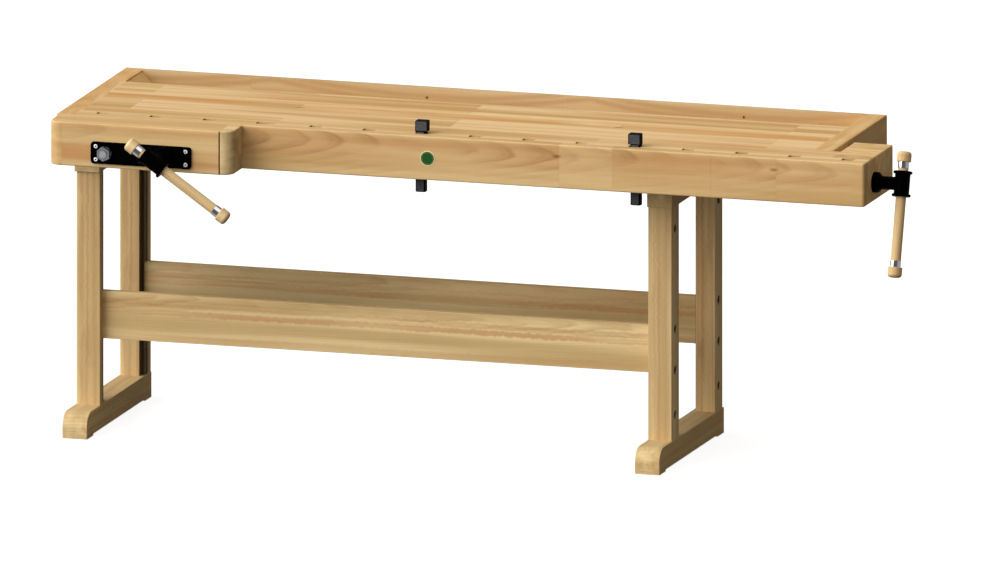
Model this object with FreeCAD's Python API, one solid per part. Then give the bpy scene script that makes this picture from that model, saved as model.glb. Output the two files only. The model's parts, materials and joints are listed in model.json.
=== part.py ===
import FreeCAD, Part
import math
import os

# A joiner's workbench: a beam with dog holes, a laminated slab and a tool well on two
# trestles, a front vise at the left, a tail vise at the right and two bench dogs.
#
# Lengths are in millimetres. While it is built, x runs from the left end of the top,
# y runs back from the front face of the beam and z runs up from the floor. What is
# written out is moved so that the origin lies on the floor below the middle of the whole.

Vector = FreeCAD.Vector
ALONG_X = Vector(1, 0, 0)
ALONG_Y = Vector(0, 1, 0)
ALONG_Z = Vector(0, 0, 1)

# ---------------------------------------------------------------- gaps and edges
contact_gap = 0.3        # between a moving piece and what it passes
running_gap = 0.05       # round a shaft in its bearing
passing_gap = 1.0        # round a shaft in a plain hole
fastener_gap = 0.1       # round a screw or bolt in its hole
edge_round = 4.0         # worktop and jaw edges
fine_round = 2.0         # edges of legs, rails and stretchers
tolerance = 0.001

# ---------------------------------------------------------------- worktop
top_length = 2147.0      # over both end caps
top_depth = 641.0
top_height = 900.0
cap_width = 54.0
beam_depth = 137.0
beam_height = 120.0
front_board_thick = 31.0
slab_depth = 323.0
slab_thick = 60.0
back_thick = 26.0
back_height = 110.0
well_bottom_thick = 12.0
well_lip = 12.0          # how far the well bottom reaches under the slab
well_groove = 8.0        # how far it enters the back board
ramp_run = 41.0          # of the sloping blocks along the well
ramp_drop = 4.0          # top of the sloping blocks below the worktop
back_hole_places = (857.0, 1750.5)
back_hole_drop = 27.0
back_hole_d = 8.0
back_hole_deep = 12.0

# ---------------------------------------------------------------- dog holes and dogs
hole_first = 119.0       # centre of the first hole
hole_pitch = 150.0
hole_length = 34.5       # along the bench
hole_width = 25.0
hole_end_wood = 30.0     # least wood between the last hole and the end of the tail vise
left_dog_hole = 7        # counted from the left
right_dog_hole = 11
dog_shank_length = 28.0
dog_lip = 5.7
dog_head_height = 29.0
dog_neck_show = 6.5      # shank seen between worktop and head
dog_total = 196.0
dog_chamfer = 4.0
dog_head_chamfer = 1.5
spring_thick = 1.2
spring_width = 14.0
spring_chord = 90.0
spring_centre = 55.0     # below the underside of the head

# ---------------------------------------------------------------- trestles
trestle_first = 7.0      # outer face of the left feet
right_trestle_room = 472.0  # from the left face of the right foot to the right end cap
foot_width = 70.0
foot_height = 70.0
foot_front = 31.5
foot_back_inset = 15.5   # back end of the foot in from the back of the top
foot_round = 40.0
foot_pad = 58.0
foot_relief = 5.0
foot_hole_place = 266.0
foot_hole_height = 42.0
foot_hole_d = 6.0
foot_hole_deep = 15.0
rail_height = 68.0
rail_front = 145.0
leg_inset = 3.0          # leg faces in from the faces of the foot
leg_setback = 121.5      # leg front behind the front end of the foot
leg_layer = 23.0         # each leg is glued up from three layers
leg_width_outer = 66.5
leg_width_middle = 62.0
leg_width_inner = 54.0
tenon_width = 26.0
tenon_depth = 45.0
tenon_length = 45.0

# ---------------------------------------------------------------- stretchers
stretcher_bottom = 250.5
stretcher_height = 131.0
stretcher_bolt_edge = 9.0
spare_hole_low = 136.0
spare_hole_high = 649.0
bolt_d = 8.0
bolt_head_d = 14.0
bolt_head_high = 7.0
bolt_socket_flats = 6.0
bolt_socket_deep = 4.0
washer_d = 23.0
washer_thick = 2.0
bolt_well_d = 25.0
bolt_sunk = 1.5          # bolt head below the face of the leg
bolt_reach = 26.0        # past the end of the stretcher
barrel_d = 12.0
barrel_long = 18.0
barrel_from_end = 14.0

# ---------------------------------------------------------------- other fasteners
cap_bolt_places = (190.0, 290.0)
cap_bolt_drop = 25.0
cap_bolt_well_deep = 20.0
cap_bolt_d = 10.0
cap_bolt_reach = 70.0
cap_barrel_d = 20.0
cap_barrel_from_end = 45.0
rail_bolt_inset = 33.0   # from the nearer leg
rail_bolt_d = 10.0
rail_bolt_head_d = 17.0
rail_bolt_head_high = 8.0
rail_bolt_well_d = 22.0
rail_bolt_well_deep = 12.0
rail_bolt_reach = 40.0
wood_screw_d = 5.0
wood_screw_head_d = 11.0
wood_screw_head_high = 2.6
cross_length = 5.6       # cross recess of a wood screw
cross_width = 1.1
cross_deep = 1.6
plate_screw_reach = 32.0
bracket_screw_bite = 20.0  # into the slab

# ---------------------------------------------------------------- vise hardware
shaft_d = 24.0
thrust_d = 34.0
thrust_thick = 5.0
collar_d = 56.0
collar_rim = 14.0
collar_top_d = 38.0
collar_long = 22.0
neck_d = 36.0
hub_centre = 79.0        # handle line in front of the collar's seat
hub_d = 42.0
hub_long = 70.0
hub_rim_d = 52.0
hub_rim = 8.0
hub_lip_round = 3.5      # edges of the hub's rims
hub_wall = 6.0           # iron left between shaft end and handle
handle_d = 28.0
handle_long = 342.0
handle_offset = 83.0     # handle centre from the hub
knob_d = 39.0
knob_long = 28.0
knob_round = 9.0
knob_tenon_d = 16.0
knob_tenon_long = 18.0
ferrule_d = 30.0
ferrule_long = 17.5
nut_d = 44.0
nut_long = 40.0
nut_flange_d = 60.0
nut_flange = 6.0

# ---------------------------------------------------------------- front vise
jaw_left = 8.0
jaw_length = 482.0
jaw_end_length = 35.0
jaw_thick = 100.0
jaw_seam = 2.0
jaw_flat = 3.0           # between the seam and the rounded corner
plate_left = 129.0
plate_length = 283.0
plate_high = 60.0
plate_thick = 6.0
plate_round = 9.0
plate_screw_inset_x = 15.0
plate_screw_inset_z = 12.0
front_axis_drop = 78.0   # screw and guide bar below the worktop
front_screw_x = 330.0
front_guide_x = 169.0
front_shaft_end = 330.0  # behind the face of the beam
front_guide_d = 25.0
front_guide_end = 365.0
front_stud_d = 20.0
guide_washer_d = 38.0
guide_washer = 2.5
guide_nut_flats = 34.0
guide_nut_high = 14.0
guide_stud_show = 3.0
front_nut_long = 40.0
front_nut_d = 40.0
front_bracket_y = 165.0
front_handle_fall = 34.7 # degrees that the handle slopes down to the right

# ---------------------------------------------------------------- tail vise
tail_reach = 131.0       # right face of the end block past the end cap
tail_inside = 180.0      # least length of the tail vise left of the end cap
tail_block_length = 108.0
tail_block_depth = 268.0
tail_head_length = 44.0
tail_corner_round = 8.0  # upright corners at the right end
tail_cover_thick = 26.0
tail_axis_y = 90.0
tail_axis_drop = 68.0
tail_core_length = 105.0
tail_core_high = 73.0
tail_shaft_room = 11.7   # between the screw's inner end and the jaw block
tail_guide_y = 197.0
tail_guide_drop = 85.0
tail_guide_d = 20.0
tail_guide_long = 357.0
tail_guide_seat = 60.0
tail_bracket_inset = 60.0
tail_handle_lean = 16.2  # degrees that the handle leans back at its top

# ---------------------------------------------------------------- brackets and badge
bracket_long = 40.0
bracket_wide = 76.0
bracket_below = 8.0      # bracket material under the bar
bracket_screw_inset = 9.0
badge_x = 1046.5
badge_drop = 60.0
badge_d = 41.0
badge_thick = 2.0
badge_seat = 1.0

# ---------------------------------------------------------------- places worked out
beam_bottom = top_height - beam_height
slab_bottom = top_height - slab_thick
slab_back = beam_depth + slab_depth
back_front = top_depth - back_thick
hole_front = front_board_thick
hole_back = hole_front + hole_width
right_cap_x = top_length - cap_width
tail_right = top_length + tail_reach
fixed_holes = math.floor((right_cap_x - tail_inside - hole_first) / hole_pitch + 0.5)
all_holes = 1 + math.floor((tail_right - hole_end_wood - hole_first) / hole_pitch)
split_x = hole_first + hole_pitch * (fixed_holes - 0.5)
tail_left = split_x + contact_gap
tail_block_x = tail_right - tail_block_length
tail_strip_back = beam_depth - contact_gap
tail_head_right = tail_left + tail_head_length
tail_cover_bottom = top_height - tail_cover_thick
tail_axis_z = top_height - tail_axis_drop
tail_guide_z = top_height - tail_guide_drop
tail_core_x = top_length - tail_core_length
tail_bracket_x = right_cap_x - tail_bracket_inset
tail_core_top = tail_cover_bottom - contact_gap
foot_back = top_depth - foot_back_inset
rail_bottom = beam_bottom - rail_height
leg_front = foot_front + leg_setback
leg_depth = 3 * leg_layer
leg_back = foot_back - leg_inset
rail_bolt_places = (leg_front + leg_depth + rail_bolt_inset, leg_back - leg_depth - rail_bolt_inset)
stretcher_bolt_low = stretcher_bottom + stretcher_bolt_edge
stretcher_bolt_high = stretcher_bottom + stretcher_height - stretcher_bolt_edge
front_axis_z = top_height - front_axis_drop
jaw_back = -contact_gap
jaw_front = jaw_back - jaw_thick
jaw_end_left = jaw_left + jaw_length
jaw_end_right = jaw_end_left + jaw_end_length
jaw_round = jaw_end_length - jaw_flat
plate_front = jaw_front - plate_thick
dog_head_length = dog_shank_length + dog_lip
dog_depth = hole_width - 2 * contact_gap
bolt_pass_d = bolt_d + 2 * fastener_gap
bolt_well_deep = bolt_sunk + bolt_head_high + washer_thick
reach = hub_centre + max(hub_rim_d, knob_d) / 2
whole_right = tail_right + reach
whole_front = plate_front - reach
origin = Vector(whole_right / 2, (whole_front + top_depth) / 2, 0)


# ---------------------------------------------------------------- shape helpers
def box(x_range, y_range, z_range):
    """A box between the given limits."""
    size = [high - low for low, high in (x_range, y_range, z_range)]
    return Part.makeBox(*size, Vector(x_range[0], y_range[0], z_range[0]))


def rod(start, direction, length, diameter):
    """A cylinder from start along direction."""
    return Part.makeCylinder(diameter / 2, length, start, direction)


def rounded(shape, radius, axis, **place):
    """Round the straight edges that run along axis at the given place."""
    picked = []
    for edge in shape.Edges:
        first, last = edge.Vertexes[0].Point, edge.Vertexes[-1].Point
        run = abs(getattr(last - first, axis))
        middle = (first + last) * 0.5
        straight = run > tolerance and abs(run - edge.Length) < tolerance
        placed = all(abs(getattr(middle, key) - value) < tolerance for key, value in place.items())
        if straight and placed:
            picked.append(edge)
    return shape.makeFillet(radius, picked)


def rim_rounded(shape, radius, z, joints):
    """Round the edges at height z, apart from joints: an axis, a place on it and a margin."""
    picked = []
    for edge in shape.Edges:
        ends = [vertex.Point for vertex in edge.Vertexes]
        level = all(abs(point.z - z) < tolerance for point in ends)
        joined = any(all(abs(getattr(point, axis) - place) < margin for point in ends)
                     for axis, place, margin in joints)
        if level and not joined:
            picked.append(edge)
    return shape.makeFillet(radius, picked)


def cut_all(shape, tools):
    """Cut every tool out of the shape."""
    for tool in tools:
        shape = shape.cut(tool)
    return shape


def group(solids):
    """Separate solids that share one node."""
    return Part.makeCompound(list(solids))


def prism(points, height):
    """Extrude a closed outline of points upwards."""
    outline = Part.makePolygon(points + points[:1])
    return Part.Face(outline).extrude(Vector(0, 0, height))


def hexagon(centre, direction, flats, height):
    """A hexagonal prism along direction, one corner upwards."""
    radius = flats / math.sqrt(3)
    side = ALONG_Z.cross(direction)
    corners = []
    for index in range(6):
        angle = math.radians(60 * index)
        corners.append(centre + ALONG_Z * radius * math.cos(angle) + side * radius * math.sin(angle))
    return Part.Face(Part.makePolygon(corners + corners[:1])).extrude(direction * height)


def hole_centre(number):
    """Middle of a dog hole, counted from 1 at the left."""
    return hole_first + hole_pitch * (number - 1)


# ---------------------------------------------------------------- worktop
def front_vise_bores(gap):
    """Clearance bores for the front vise's screw and guide bar."""
    tools = []
    for x, diameter in ((front_screw_x, shaft_d), (front_guide_x, front_guide_d)):
        start = Vector(x, jaw_front - passing_gap, front_axis_z)
        tools.append(rod(start, ALONG_Y, beam_depth + jaw_thick + 3 * passing_gap, diameter + 2 * gap))
    return tools


def front_board():
    """The board that closes the dog holes at the front."""
    board = box((cap_width, split_x), (0, front_board_thick), (beam_bottom, top_height))
    board = rounded(board, edge_round, "x", y=0, z=top_height)
    board = rounded(board, edge_round, "x", y=0, z=beam_bottom)
    seat = rod(Vector(badge_x, 0, top_height - badge_drop), ALONG_Y, badge_seat, badge_d + 2 * fastener_gap)
    return cut_all(board, front_vise_bores(passing_gap) + [seat])


def hole_blocks(left, right, numbers):
    """Blocks that leave the dog holes open between left and right."""
    starts = [left] + [hole_centre(number) + hole_length / 2 for number in numbers]
    ends = [hole_centre(number) - hole_length / 2 for number in numbers] + [right]
    blocks = []
    for start, end in zip(starts, ends):
        blocks.append(box((start, end), (hole_front, hole_back), (beam_bottom, top_height)))
    return blocks


def dog_hole_blocks():
    """The fixed blocks; the two nearest the front vise pass its screw and guide bar."""
    blocks = hole_blocks(cap_width, split_x, range(1, fixed_holes + 1))
    return group(cut_all(block, front_vise_bores(passing_gap)) for block in blocks)


def beam_core():
    """The rear part of the beam, which holds the front vise's nut."""
    core = box((cap_width, split_x), (hole_back, beam_depth), (beam_bottom, top_height))
    seat_start = Vector(front_screw_x, beam_depth - front_nut_long, front_axis_z)
    seat = rod(seat_start, ALONG_Y, front_nut_long, front_nut_d)
    core = cut_all(core, front_vise_bores(passing_gap) + [seat])
    return rounded(core, fine_round, "x", y=beam_depth, z=beam_bottom)


def cap_bolt_lines():
    """Start and inward direction of every bolt through the end caps."""
    lines = []
    for x, direction in ((0, ALONG_X), (top_length, -ALONG_X)):
        for y in cap_bolt_places:
            lines.append((Vector(x, y, top_height - cap_bolt_drop), direction))
    return lines


def cap_bolt_cuts():
    """Wells and holes for the end cap bolts."""
    tools = []
    for start, direction in cap_bolt_lines():
        tools.append(rod(start, direction, cap_bolt_well_deep, bolt_well_d))
        tools.append(rod(start, direction, cap_width + cap_bolt_reach, cap_bolt_d + 2 * fastener_gap))
    return tools


def cap_barrels(diameter):
    """Upright barrel nuts, or their holes, that the end cap bolts screw into."""
    barrels = []
    for start, direction in cap_bolt_lines():
        foot = start + direction * (cap_width + cap_barrel_from_end)
        foot.z = slab_bottom
        barrels.append(rod(foot, ALONG_Z, slab_thick - cap_bolt_drop + cap_bolt_d, diameter))
    return barrels


def top_slab():
    """The laminated slab between the end caps."""
    slab = box((cap_width, right_cap_x), (beam_depth, slab_back), (slab_bottom, top_height))
    lip_top = slab_bottom + well_bottom_thick
    lip = box((cap_width, right_cap_x), (slab_back - well_lip, slab_back), (slab_bottom, lip_top))
    slab = rounded(slab.cut(lip), fine_round, "x", y=slab_back, z=top_height)
    slab = cut_all(slab, cap_bolt_cuts() + cap_barrels(cap_barrel_d + 2 * fastener_gap))
    return cut_all(slab, bracket_screw_shanks(wood_screw_d + 2 * fastener_gap))


def end_cap(x_range, y_range, outer_x):
    """An end cap across the grain of the slab."""
    cap = box(x_range, y_range, (beam_bottom, top_height))
    cap = rounded(cap, edge_round, "y", x=outer_x, z=top_height)
    cap = rounded(cap, edge_round, "z", x=outer_x, y=top_depth)
    return cut_all(cap, cap_bolt_cuts())


def left_end_cap():
    """The left cap runs to the face of the beam and rests on the left rail."""
    cap = end_cap((0, cap_width), (0, top_depth), 0)
    cap = rounded(cap, edge_round, "z", x=0, y=0)
    return cut_all(cap, rail_bolt_holes(0))


def right_end_cap():
    """The right cap stops behind the tail vise, whose guide bar runs through it."""
    cap = end_cap((right_cap_x, top_length), (beam_depth, top_depth), top_length)
    bore_start = Vector(right_cap_x, tail_guide_y, tail_guide_z)
    return cap.cut(rod(bore_start, ALONG_X, cap_width, tail_guide_d + 2 * running_gap))


def end_cap_bolts():
    """Bolts that draw the end caps onto the slab."""
    bolts = []
    for start, direction in cap_bolt_lines():
        seat = start + direction * cap_bolt_well_deep
        length = cap_width - cap_bolt_well_deep + cap_barrel_from_end
        bolts.append(bolt(seat, direction, length - cap_barrel_d / 2, cap_bolt_d))
    return group(bolts)


def back_board():
    """The board behind the tool well."""
    x_range = (cap_width, right_cap_x)
    board = box(x_range, (back_front, top_depth), (top_height - back_height, top_height))
    groove_y = (back_front, back_front + well_groove)
    groove = box(x_range, groove_y, (slab_bottom, slab_bottom + well_bottom_thick))
    board = rounded(board.cut(groove), edge_round, "x", y=top_depth, z=top_height)
    holes = []
    for x in back_hole_places:
        start = Vector(x, back_front, top_height - back_hole_drop)
        holes.append(rod(start, ALONG_Y, back_hole_deep, back_hole_d))
    return cut_all(board, holes)


def well_bottom():
    """The thin panel that closes the tool well below."""
    y_range = (slab_back - well_lip, back_front + well_groove)
    return box((cap_width, right_cap_x), y_range, (slab_bottom, slab_bottom + well_bottom_thick))


def well_ramps():
    """A sloping block at each end of the tool well, to sweep it out."""
    foot_z = slab_bottom + well_bottom_thick
    ramps = []
    for wall_x, inward in ((cap_width, 1), (right_cap_x, -1)):
        outline = [
            Vector(wall_x, slab_back, foot_z),
            Vector(wall_x + inward * ramp_run, slab_back, foot_z),
            Vector(wall_x, slab_back, top_height - ramp_drop),
        ]
        face = Part.Face(Part.makePolygon(outline + outline[:1]))
        ramps.append(face.extrude(Vector(0, back_front - slab_back, 0)))
    return group(ramps)


def badge():
    """A plain round badge let into the face of the beam."""
    proud = badge_thick - badge_seat
    disc = rod(Vector(badge_x, badge_seat, top_height - badge_drop), -ALONG_Y, badge_thick, badge_d)
    rim = [edge for edge in disc.Edges if abs(edge.CenterOfMass.y + proud) < tolerance]
    return disc.makeFillet(proud / 2, rim)


# ---------------------------------------------------------------- trestles
def trestle_x(side):
    """Left face of a trestle: side 0 is the left one, side 1 the right one."""
    return right_cap_x - right_trestle_room if side else trestle_first


def leg_outline(side, rear):
    """Plan outline of a leg: its outer layer is the widest, its inner layer the narrowest."""
    inward_x = -1 if side else 1
    inward_y = -1 if rear else 1
    outer_x = trestle_x(side) + (foot_width - leg_inset if side else leg_inset)
    outer_y = leg_back if rear else leg_front
    points = [Vector(outer_x, outer_y, foot_height)]
    for layer, width in enumerate((leg_width_outer, leg_width_middle, leg_width_inner)):
        x = outer_x + inward_x * width
        points.append(Vector(x, outer_y + inward_y * leg_layer * layer, foot_height))
        points.append(Vector(x, outer_y + inward_y * leg_layer * (layer + 1), foot_height))
    points.append(Vector(outer_x, outer_y + inward_y * leg_depth, foot_height))
    return points


def leg_centre(side, rear):
    """Plan centre of a leg's middle layer, where its tenons and bolts lie."""
    outline = leg_outline(side, rear)
    outer, far = outline[0], outline[3]
    return Vector((outer.x + far.x) / 2, (outer.y + outline[-1].y) / 2, 0)


def leg_tenons(side, rear):
    """The tenons at the foot and at the head of a leg."""
    centre = leg_centre(side, rear)
    x_range = (centre.x - tenon_width / 2, centre.x + tenon_width / 2)
    y_range = (centre.y - tenon_depth / 2, centre.y + tenon_depth / 2)
    lower = box(x_range, y_range, (foot_height - tenon_length, foot_height))
    upper = box(x_range, y_range, (rail_bottom, rail_bottom + tenon_length))
    return [lower, upper]


def bolt(seat, direction, length, diameter):
    """A socket-head bolt with its washer, seated at seat."""
    washer = rod(seat, -direction, washer_thick, washer_d)
    head_start = seat - direction * washer_thick
    head = rod(head_start, -direction, bolt_head_high, bolt_head_d)
    shank = rod(head_start, direction, length + washer_thick, diameter)
    socket_start = head_start - direction * bolt_head_high
    socket = hexagon(socket_start, direction, bolt_socket_flats, bolt_socket_deep)
    return washer.fuse([head, shank]).removeSplitter().cut(socket)


def leg_bolt_lines(side, rear, heights):
    """Start on the leg's outer face and inward direction of its bolt holes."""
    outer_x = leg_outline(side, rear)[0].x
    direction = -ALONG_X if side else ALONG_X
    return [(Vector(outer_x, leg_centre(side, rear).y, z), direction) for z in heights]


def leg(side, rear):
    """A leg with its tenons and four bolt holes."""
    outline = leg_outline(side, rear)
    body = prism(outline, rail_bottom - foot_height)
    for corner in (outline[0], outline[1], outline[-1]):
        body = rounded(body, fine_round, "z", x=corner.x, y=corner.y)
    body = body.fuse(leg_tenons(side, rear)).removeSplitter()
    heights = (spare_hole_low, stretcher_bolt_low, stretcher_bolt_high, spare_hole_high)
    for start, direction in leg_bolt_lines(side, rear, heights):
        body = body.cut(rod(start, direction, bolt_well_deep, bolt_well_d))
        body = body.cut(rod(start, direction, leg_width_outer, bolt_pass_d))
    return body


def foot(side):
    """A foot with a pad at each end, rounded at its front."""
    left = trestle_x(side)
    body = box((left, left + foot_width), (foot_front, foot_back), (0, foot_height))
    relief = box((left, left + foot_width), (foot_front + foot_pad, foot_back - foot_pad), (0, foot_relief))
    body = body.cut(relief)
    body = rounded(body, foot_round, "x", y=foot_front, z=foot_height)
    body = rounded(body, fine_round, "y", x=left, z=foot_height)
    body = rounded(body, fine_round, "y", x=left + foot_width, z=foot_height)
    inner_x = left + (0 if side else foot_width)
    inward = ALONG_X if side else -ALONG_X
    hole = rod(Vector(inner_x, foot_hole_place, foot_hole_height), inward, foot_hole_deep, foot_hole_d)
    mortises = [leg_tenons(side, rear)[0] for rear in (False, True)]
    return cut_all(body, [hole] + mortises)


def rail_bolt_line(side):
    """The x of a rail's bolts: into the left end cap, or into the right bearer."""
    if side:
        return trestle_x(side) + foot_width / 2
    return (trestle_x(side) + cap_width) / 2


def rail_bolt_holes(side):
    """The holes above a rail that its bolts enter."""
    starts = [Vector(rail_bolt_line(side), y, beam_bottom) for y in rail_bolt_places]
    return [rod(start, ALONG_Z, rail_bolt_reach, rail_bolt_d + 2 * fastener_gap) for start in starts]


def top_rail(side):
    """The rail on the heads of two legs, which carries the top."""
    left = trestle_x(side)
    body = box((left, left + foot_width), (rail_front, foot_back), (rail_bottom, beam_bottom))
    body = rounded(body, fine_round, "x", y=rail_front, z=rail_bottom)
    mortises = [leg_tenons(side, rear)[1] for rear in (False, True)]
    holes = []
    for y in rail_bolt_places:
        start = Vector(rail_bolt_line(side), y, rail_bottom)
        holes.append(rod(start, ALONG_Z, rail_bolt_well_deep, rail_bolt_well_d))
        holes.append(rod(start, ALONG_Z, rail_height, rail_bolt_d + 2 * fastener_gap))
    return cut_all(body, mortises + holes)


def right_bearer():
    """The bearer between the right rail and the slab."""
    left = trestle_x(1)
    body = box((left, left + foot_width), (beam_depth, back_front), (beam_bottom, slab_bottom))
    return cut_all(body, rail_bolt_holes(1))


def rail_bolts():
    """Bolts up through the rails into the left end cap and the right bearer."""
    bolts = []
    for side in (0, 1):
        for y in rail_bolt_places:
            seat = Vector(rail_bolt_line(side), y, rail_bottom + rail_bolt_well_deep)
            head = rod(seat, -ALONG_Z, rail_bolt_head_high, rail_bolt_head_d)
            length = rail_height - rail_bolt_well_deep + rail_bolt_reach
            bolts.append(head.fuse(rod(seat, ALONG_Z, length, rail_bolt_d)).removeSplitter())
    return group(bolts)


# ---------------------------------------------------------------- stretchers
def stretcher_ends(rear):
    """Left and right end of a stretcher, on the middle layers of the legs."""
    return leg_outline(0, rear)[3].x, leg_outline(1, rear)[3].x


def stretcher_faces(rear):
    """Front and back face of a stretcher, in line with the legs' middle layers."""
    centre = leg_centre(0, rear).y
    return centre - leg_layer / 2, centre + leg_layer / 2


def stretcher_barrels(rear, diameter):
    """The barrel nuts in the ends of a stretcher, or their holes."""
    back = stretcher_faces(rear)[1]
    barrels = []
    for end, inward in zip(stretcher_ends(rear), (1, -1)):
        for z in (stretcher_bolt_low, stretcher_bolt_high):
            start = Vector(end + inward * barrel_from_end, back, z)
            barrels.append(rod(start, -ALONG_Y, barrel_long, diameter))
    return barrels


def stretcher(rear):
    """A board that ties the two trestles together."""
    left, right = stretcher_ends(rear)
    top = stretcher_bottom + stretcher_height
    faces = stretcher_faces(rear)
    body = box((left, right), faces, (stretcher_bottom, top))
    for y in faces:
        body = rounded(body, fine_round, "x", y=y, z=top)
        body = rounded(body, fine_round, "x", y=y, z=stretcher_bottom)
    centre = leg_centre(0, rear).y
    for z in (stretcher_bolt_low, stretcher_bolt_high):
        body = body.cut(rod(Vector(left, centre, z), ALONG_X, bolt_reach, bolt_pass_d))
        body = body.cut(rod(Vector(right, centre, z), -ALONG_X, bolt_reach, bolt_pass_d))
    return cut_all(body, stretcher_barrels(rear, barrel_d + 2 * fastener_gap))


def stretcher_bolts():
    """Bolts through the legs into the barrel nuts."""
    bolts = []
    length = leg_width_middle - bolt_well_deep + barrel_from_end
    for rear in (False, True):
        for side in (0, 1):
            lines = leg_bolt_lines(side, rear, (stretcher_bolt_low, stretcher_bolt_high))
            for start, direction in lines:
                seat = start + direction * bolt_well_deep
                bolts.append(bolt(seat, direction, length - barrel_d / 2, bolt_d))
    return group(bolts)


def stretcher_nuts():
    """All barrel nuts of both stretchers."""
    return group(stretcher_barrels(False, barrel_d) + stretcher_barrels(True, barrel_d))


# ---------------------------------------------------------------- vise hardware
def collar(seat, out):
    """The fixed thrust collar that a vise screw turns in."""
    rim = rod(seat, out, collar_rim, collar_d)
    cone_start = seat + out * collar_rim
    cone = Part.makeCone(collar_d / 2, collar_top_d / 2, collar_long - collar_rim, cone_start, out)
    bore = rod(seat, out, collar_long, shaft_d + 2 * running_gap)
    return rim.fuse(cone).removeSplitter().cut(bore)


def hub(seat, out, handle_axis):
    """The iron head of a vise screw, with the cross bore for its handle."""
    centre = seat + out * hub_centre
    neck_start = seat + out * (collar_long + contact_gap)
    neck = rod(neck_start, out, hub_centre - collar_long - contact_gap, neck_d)
    barrel_start = centre - handle_axis * hub_long / 2
    barrel = rod(barrel_start, handle_axis, hub_long, hub_d)
    body = neck.fuse(barrel)
    for end, inward in ((barrel_start, handle_axis), (barrel_start + handle_axis * hub_long, -handle_axis)):
        rim = rod(end, inward, hub_rim, hub_rim_d)
        circles = [edge for edge in rim.Edges if edge.isClosed()]
        body = body.fuse(rim.makeFillet(hub_lip_round, circles))
    body = body.removeSplitter()
    bore = rod(barrel_start, handle_axis, hub_long, handle_d + 2 * running_gap)
    socket = rod(neck_start, out, shaft_outer_end() - collar_long - contact_gap, shaft_d)
    return body.cut(bore).cut(socket)


def shaft_outer_end():
    """Distance from the collar's seat to the end of the shaft inside the hub."""
    return hub_centre - handle_d / 2 - hub_wall


def shaft(seat, out, inner_length, thrust_depth):
    """A vise screw with its thrust ring behind the wood, thrust_depth inside the seat."""
    start = seat - out * inner_length
    body = rod(start, out, inner_length + shaft_outer_end(), shaft_d)
    ring = rod(seat - out * (thrust_depth + contact_gap), -out, thrust_thick, thrust_d)
    return body.fuse(ring).removeSplitter()


def handle_middle(seat, out, handle_axis):
    """The middle of a handle that has dropped through its hub."""
    return seat + out * hub_centre + handle_axis * handle_offset


def handle_rod(middle, axis):
    """The wooden bar of a handle, with a tenon at each end for a knob."""
    half = handle_long / 2 - knob_long
    bar = rod(middle - axis * half, axis, 2 * half, handle_d)
    tenons = rod(middle - axis * (half + knob_tenon_long), axis, 2 * (half + knob_tenon_long), knob_tenon_d)
    return bar.fuse(tenons).removeSplitter()


def handle_knobs(middle, axis):
    """The two turned knobs of a handle."""
    knobs = []
    for way in (axis, -axis):
        base = middle + way * (handle_long / 2 - knob_long)
        body = rod(base, way, knob_long, knob_d)
        outer = [edge for edge in body.Edges if (edge.CenterOfMass - base).dot(way) > knob_long - tolerance]
        body = body.makeFillet(knob_round, outer)
        inner = [edge for edge in body.Edges if abs((edge.CenterOfMass - base).dot(way)) < tolerance]
        body = body.makeFillet(fine_round, inner)
        knobs.append(body.cut(rod(base, way, knob_tenon_long, knob_tenon_d)))
    return group(knobs)


def handle_ferrules(middle, axis):
    """The two metal ferrules, each against a knob."""
    ferrules = []
    for way in (axis, -axis):
        start = middle + way * (handle_long / 2 - knob_long - ferrule_long)
        tube = rod(start, way, ferrule_long, ferrule_d)
        ferrules.append(tube.cut(rod(start, way, ferrule_long, handle_d)))
    return group(ferrules)


def cross_recess(top, inward):
    """Two crossed slots sunk into the head of a screw."""
    side = ALONG_X.cross(inward)
    slots = []
    for along, across in ((ALONG_X, side), (side, ALONG_X)):
        ends = (along * cross_length / 2, along * -cross_length / 2)
        edges = (across * cross_width / 2, across * -cross_width / 2)
        corners = [top + ends[i] + edges[j] for i, j in ((0, 0), (0, 1), (1, 1), (1, 0))]
        face = Part.Face(Part.makePolygon(corners + corners[:1]))
        slots.append(face.extrude(inward * cross_deep))
    return slots


def wood_screw(seat, inward, reach):
    """A round-head wood screw seated at seat, its inward direction across x."""
    head = rod(seat, -inward, wood_screw_head_high, wood_screw_head_d)
    crown = tolerance - wood_screw_head_high
    rim = [edge for edge in head.Edges if (edge.CenterOfMass - seat).dot(inward) < crown]
    head = head.makeFillet(wood_screw_head_high / 2, rim)
    body = head.fuse(rod(seat, inward, reach, wood_screw_d)).removeSplitter()
    return cut_all(body, cross_recess(seat - inward * wood_screw_head_high, inward))


def bracket(x_range, y_range, bar_start, bar_direction, bar_d, bar_z):
    """A bearing block under the slab for a guide bar."""
    body = box(x_range, y_range, (bar_z - bar_d / 2 - bracket_below, slab_bottom))
    bore = rod(bar_start, bar_direction, bracket_long, bar_d + 2 * running_gap)
    holes = [rod(seat, ALONG_Z, bracket_height(bar_z, bar_d), wood_screw_d + 2 * fastener_gap)
             for seat in bracket_screw_seats(x_range, y_range, bar_z, bar_d)]
    return cut_all(body, [bore] + holes)


def bracket_height(bar_z, bar_d):
    """Height of a bearing block from its underside to the slab."""
    return slab_bottom - bar_z + bar_d / 2 + bracket_below


def bracket_screw_seats(x_range, y_range, bar_z, bar_d):
    """Screw seats at two corners of a bearing block, on its underside."""
    z = bar_z - bar_d / 2 - bracket_below
    near = Vector(x_range[0] + bracket_screw_inset, y_range[0] + bracket_screw_inset, z)
    far = Vector(x_range[1] - bracket_screw_inset, y_range[1] - bracket_screw_inset, z)
    return [near, far]


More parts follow.
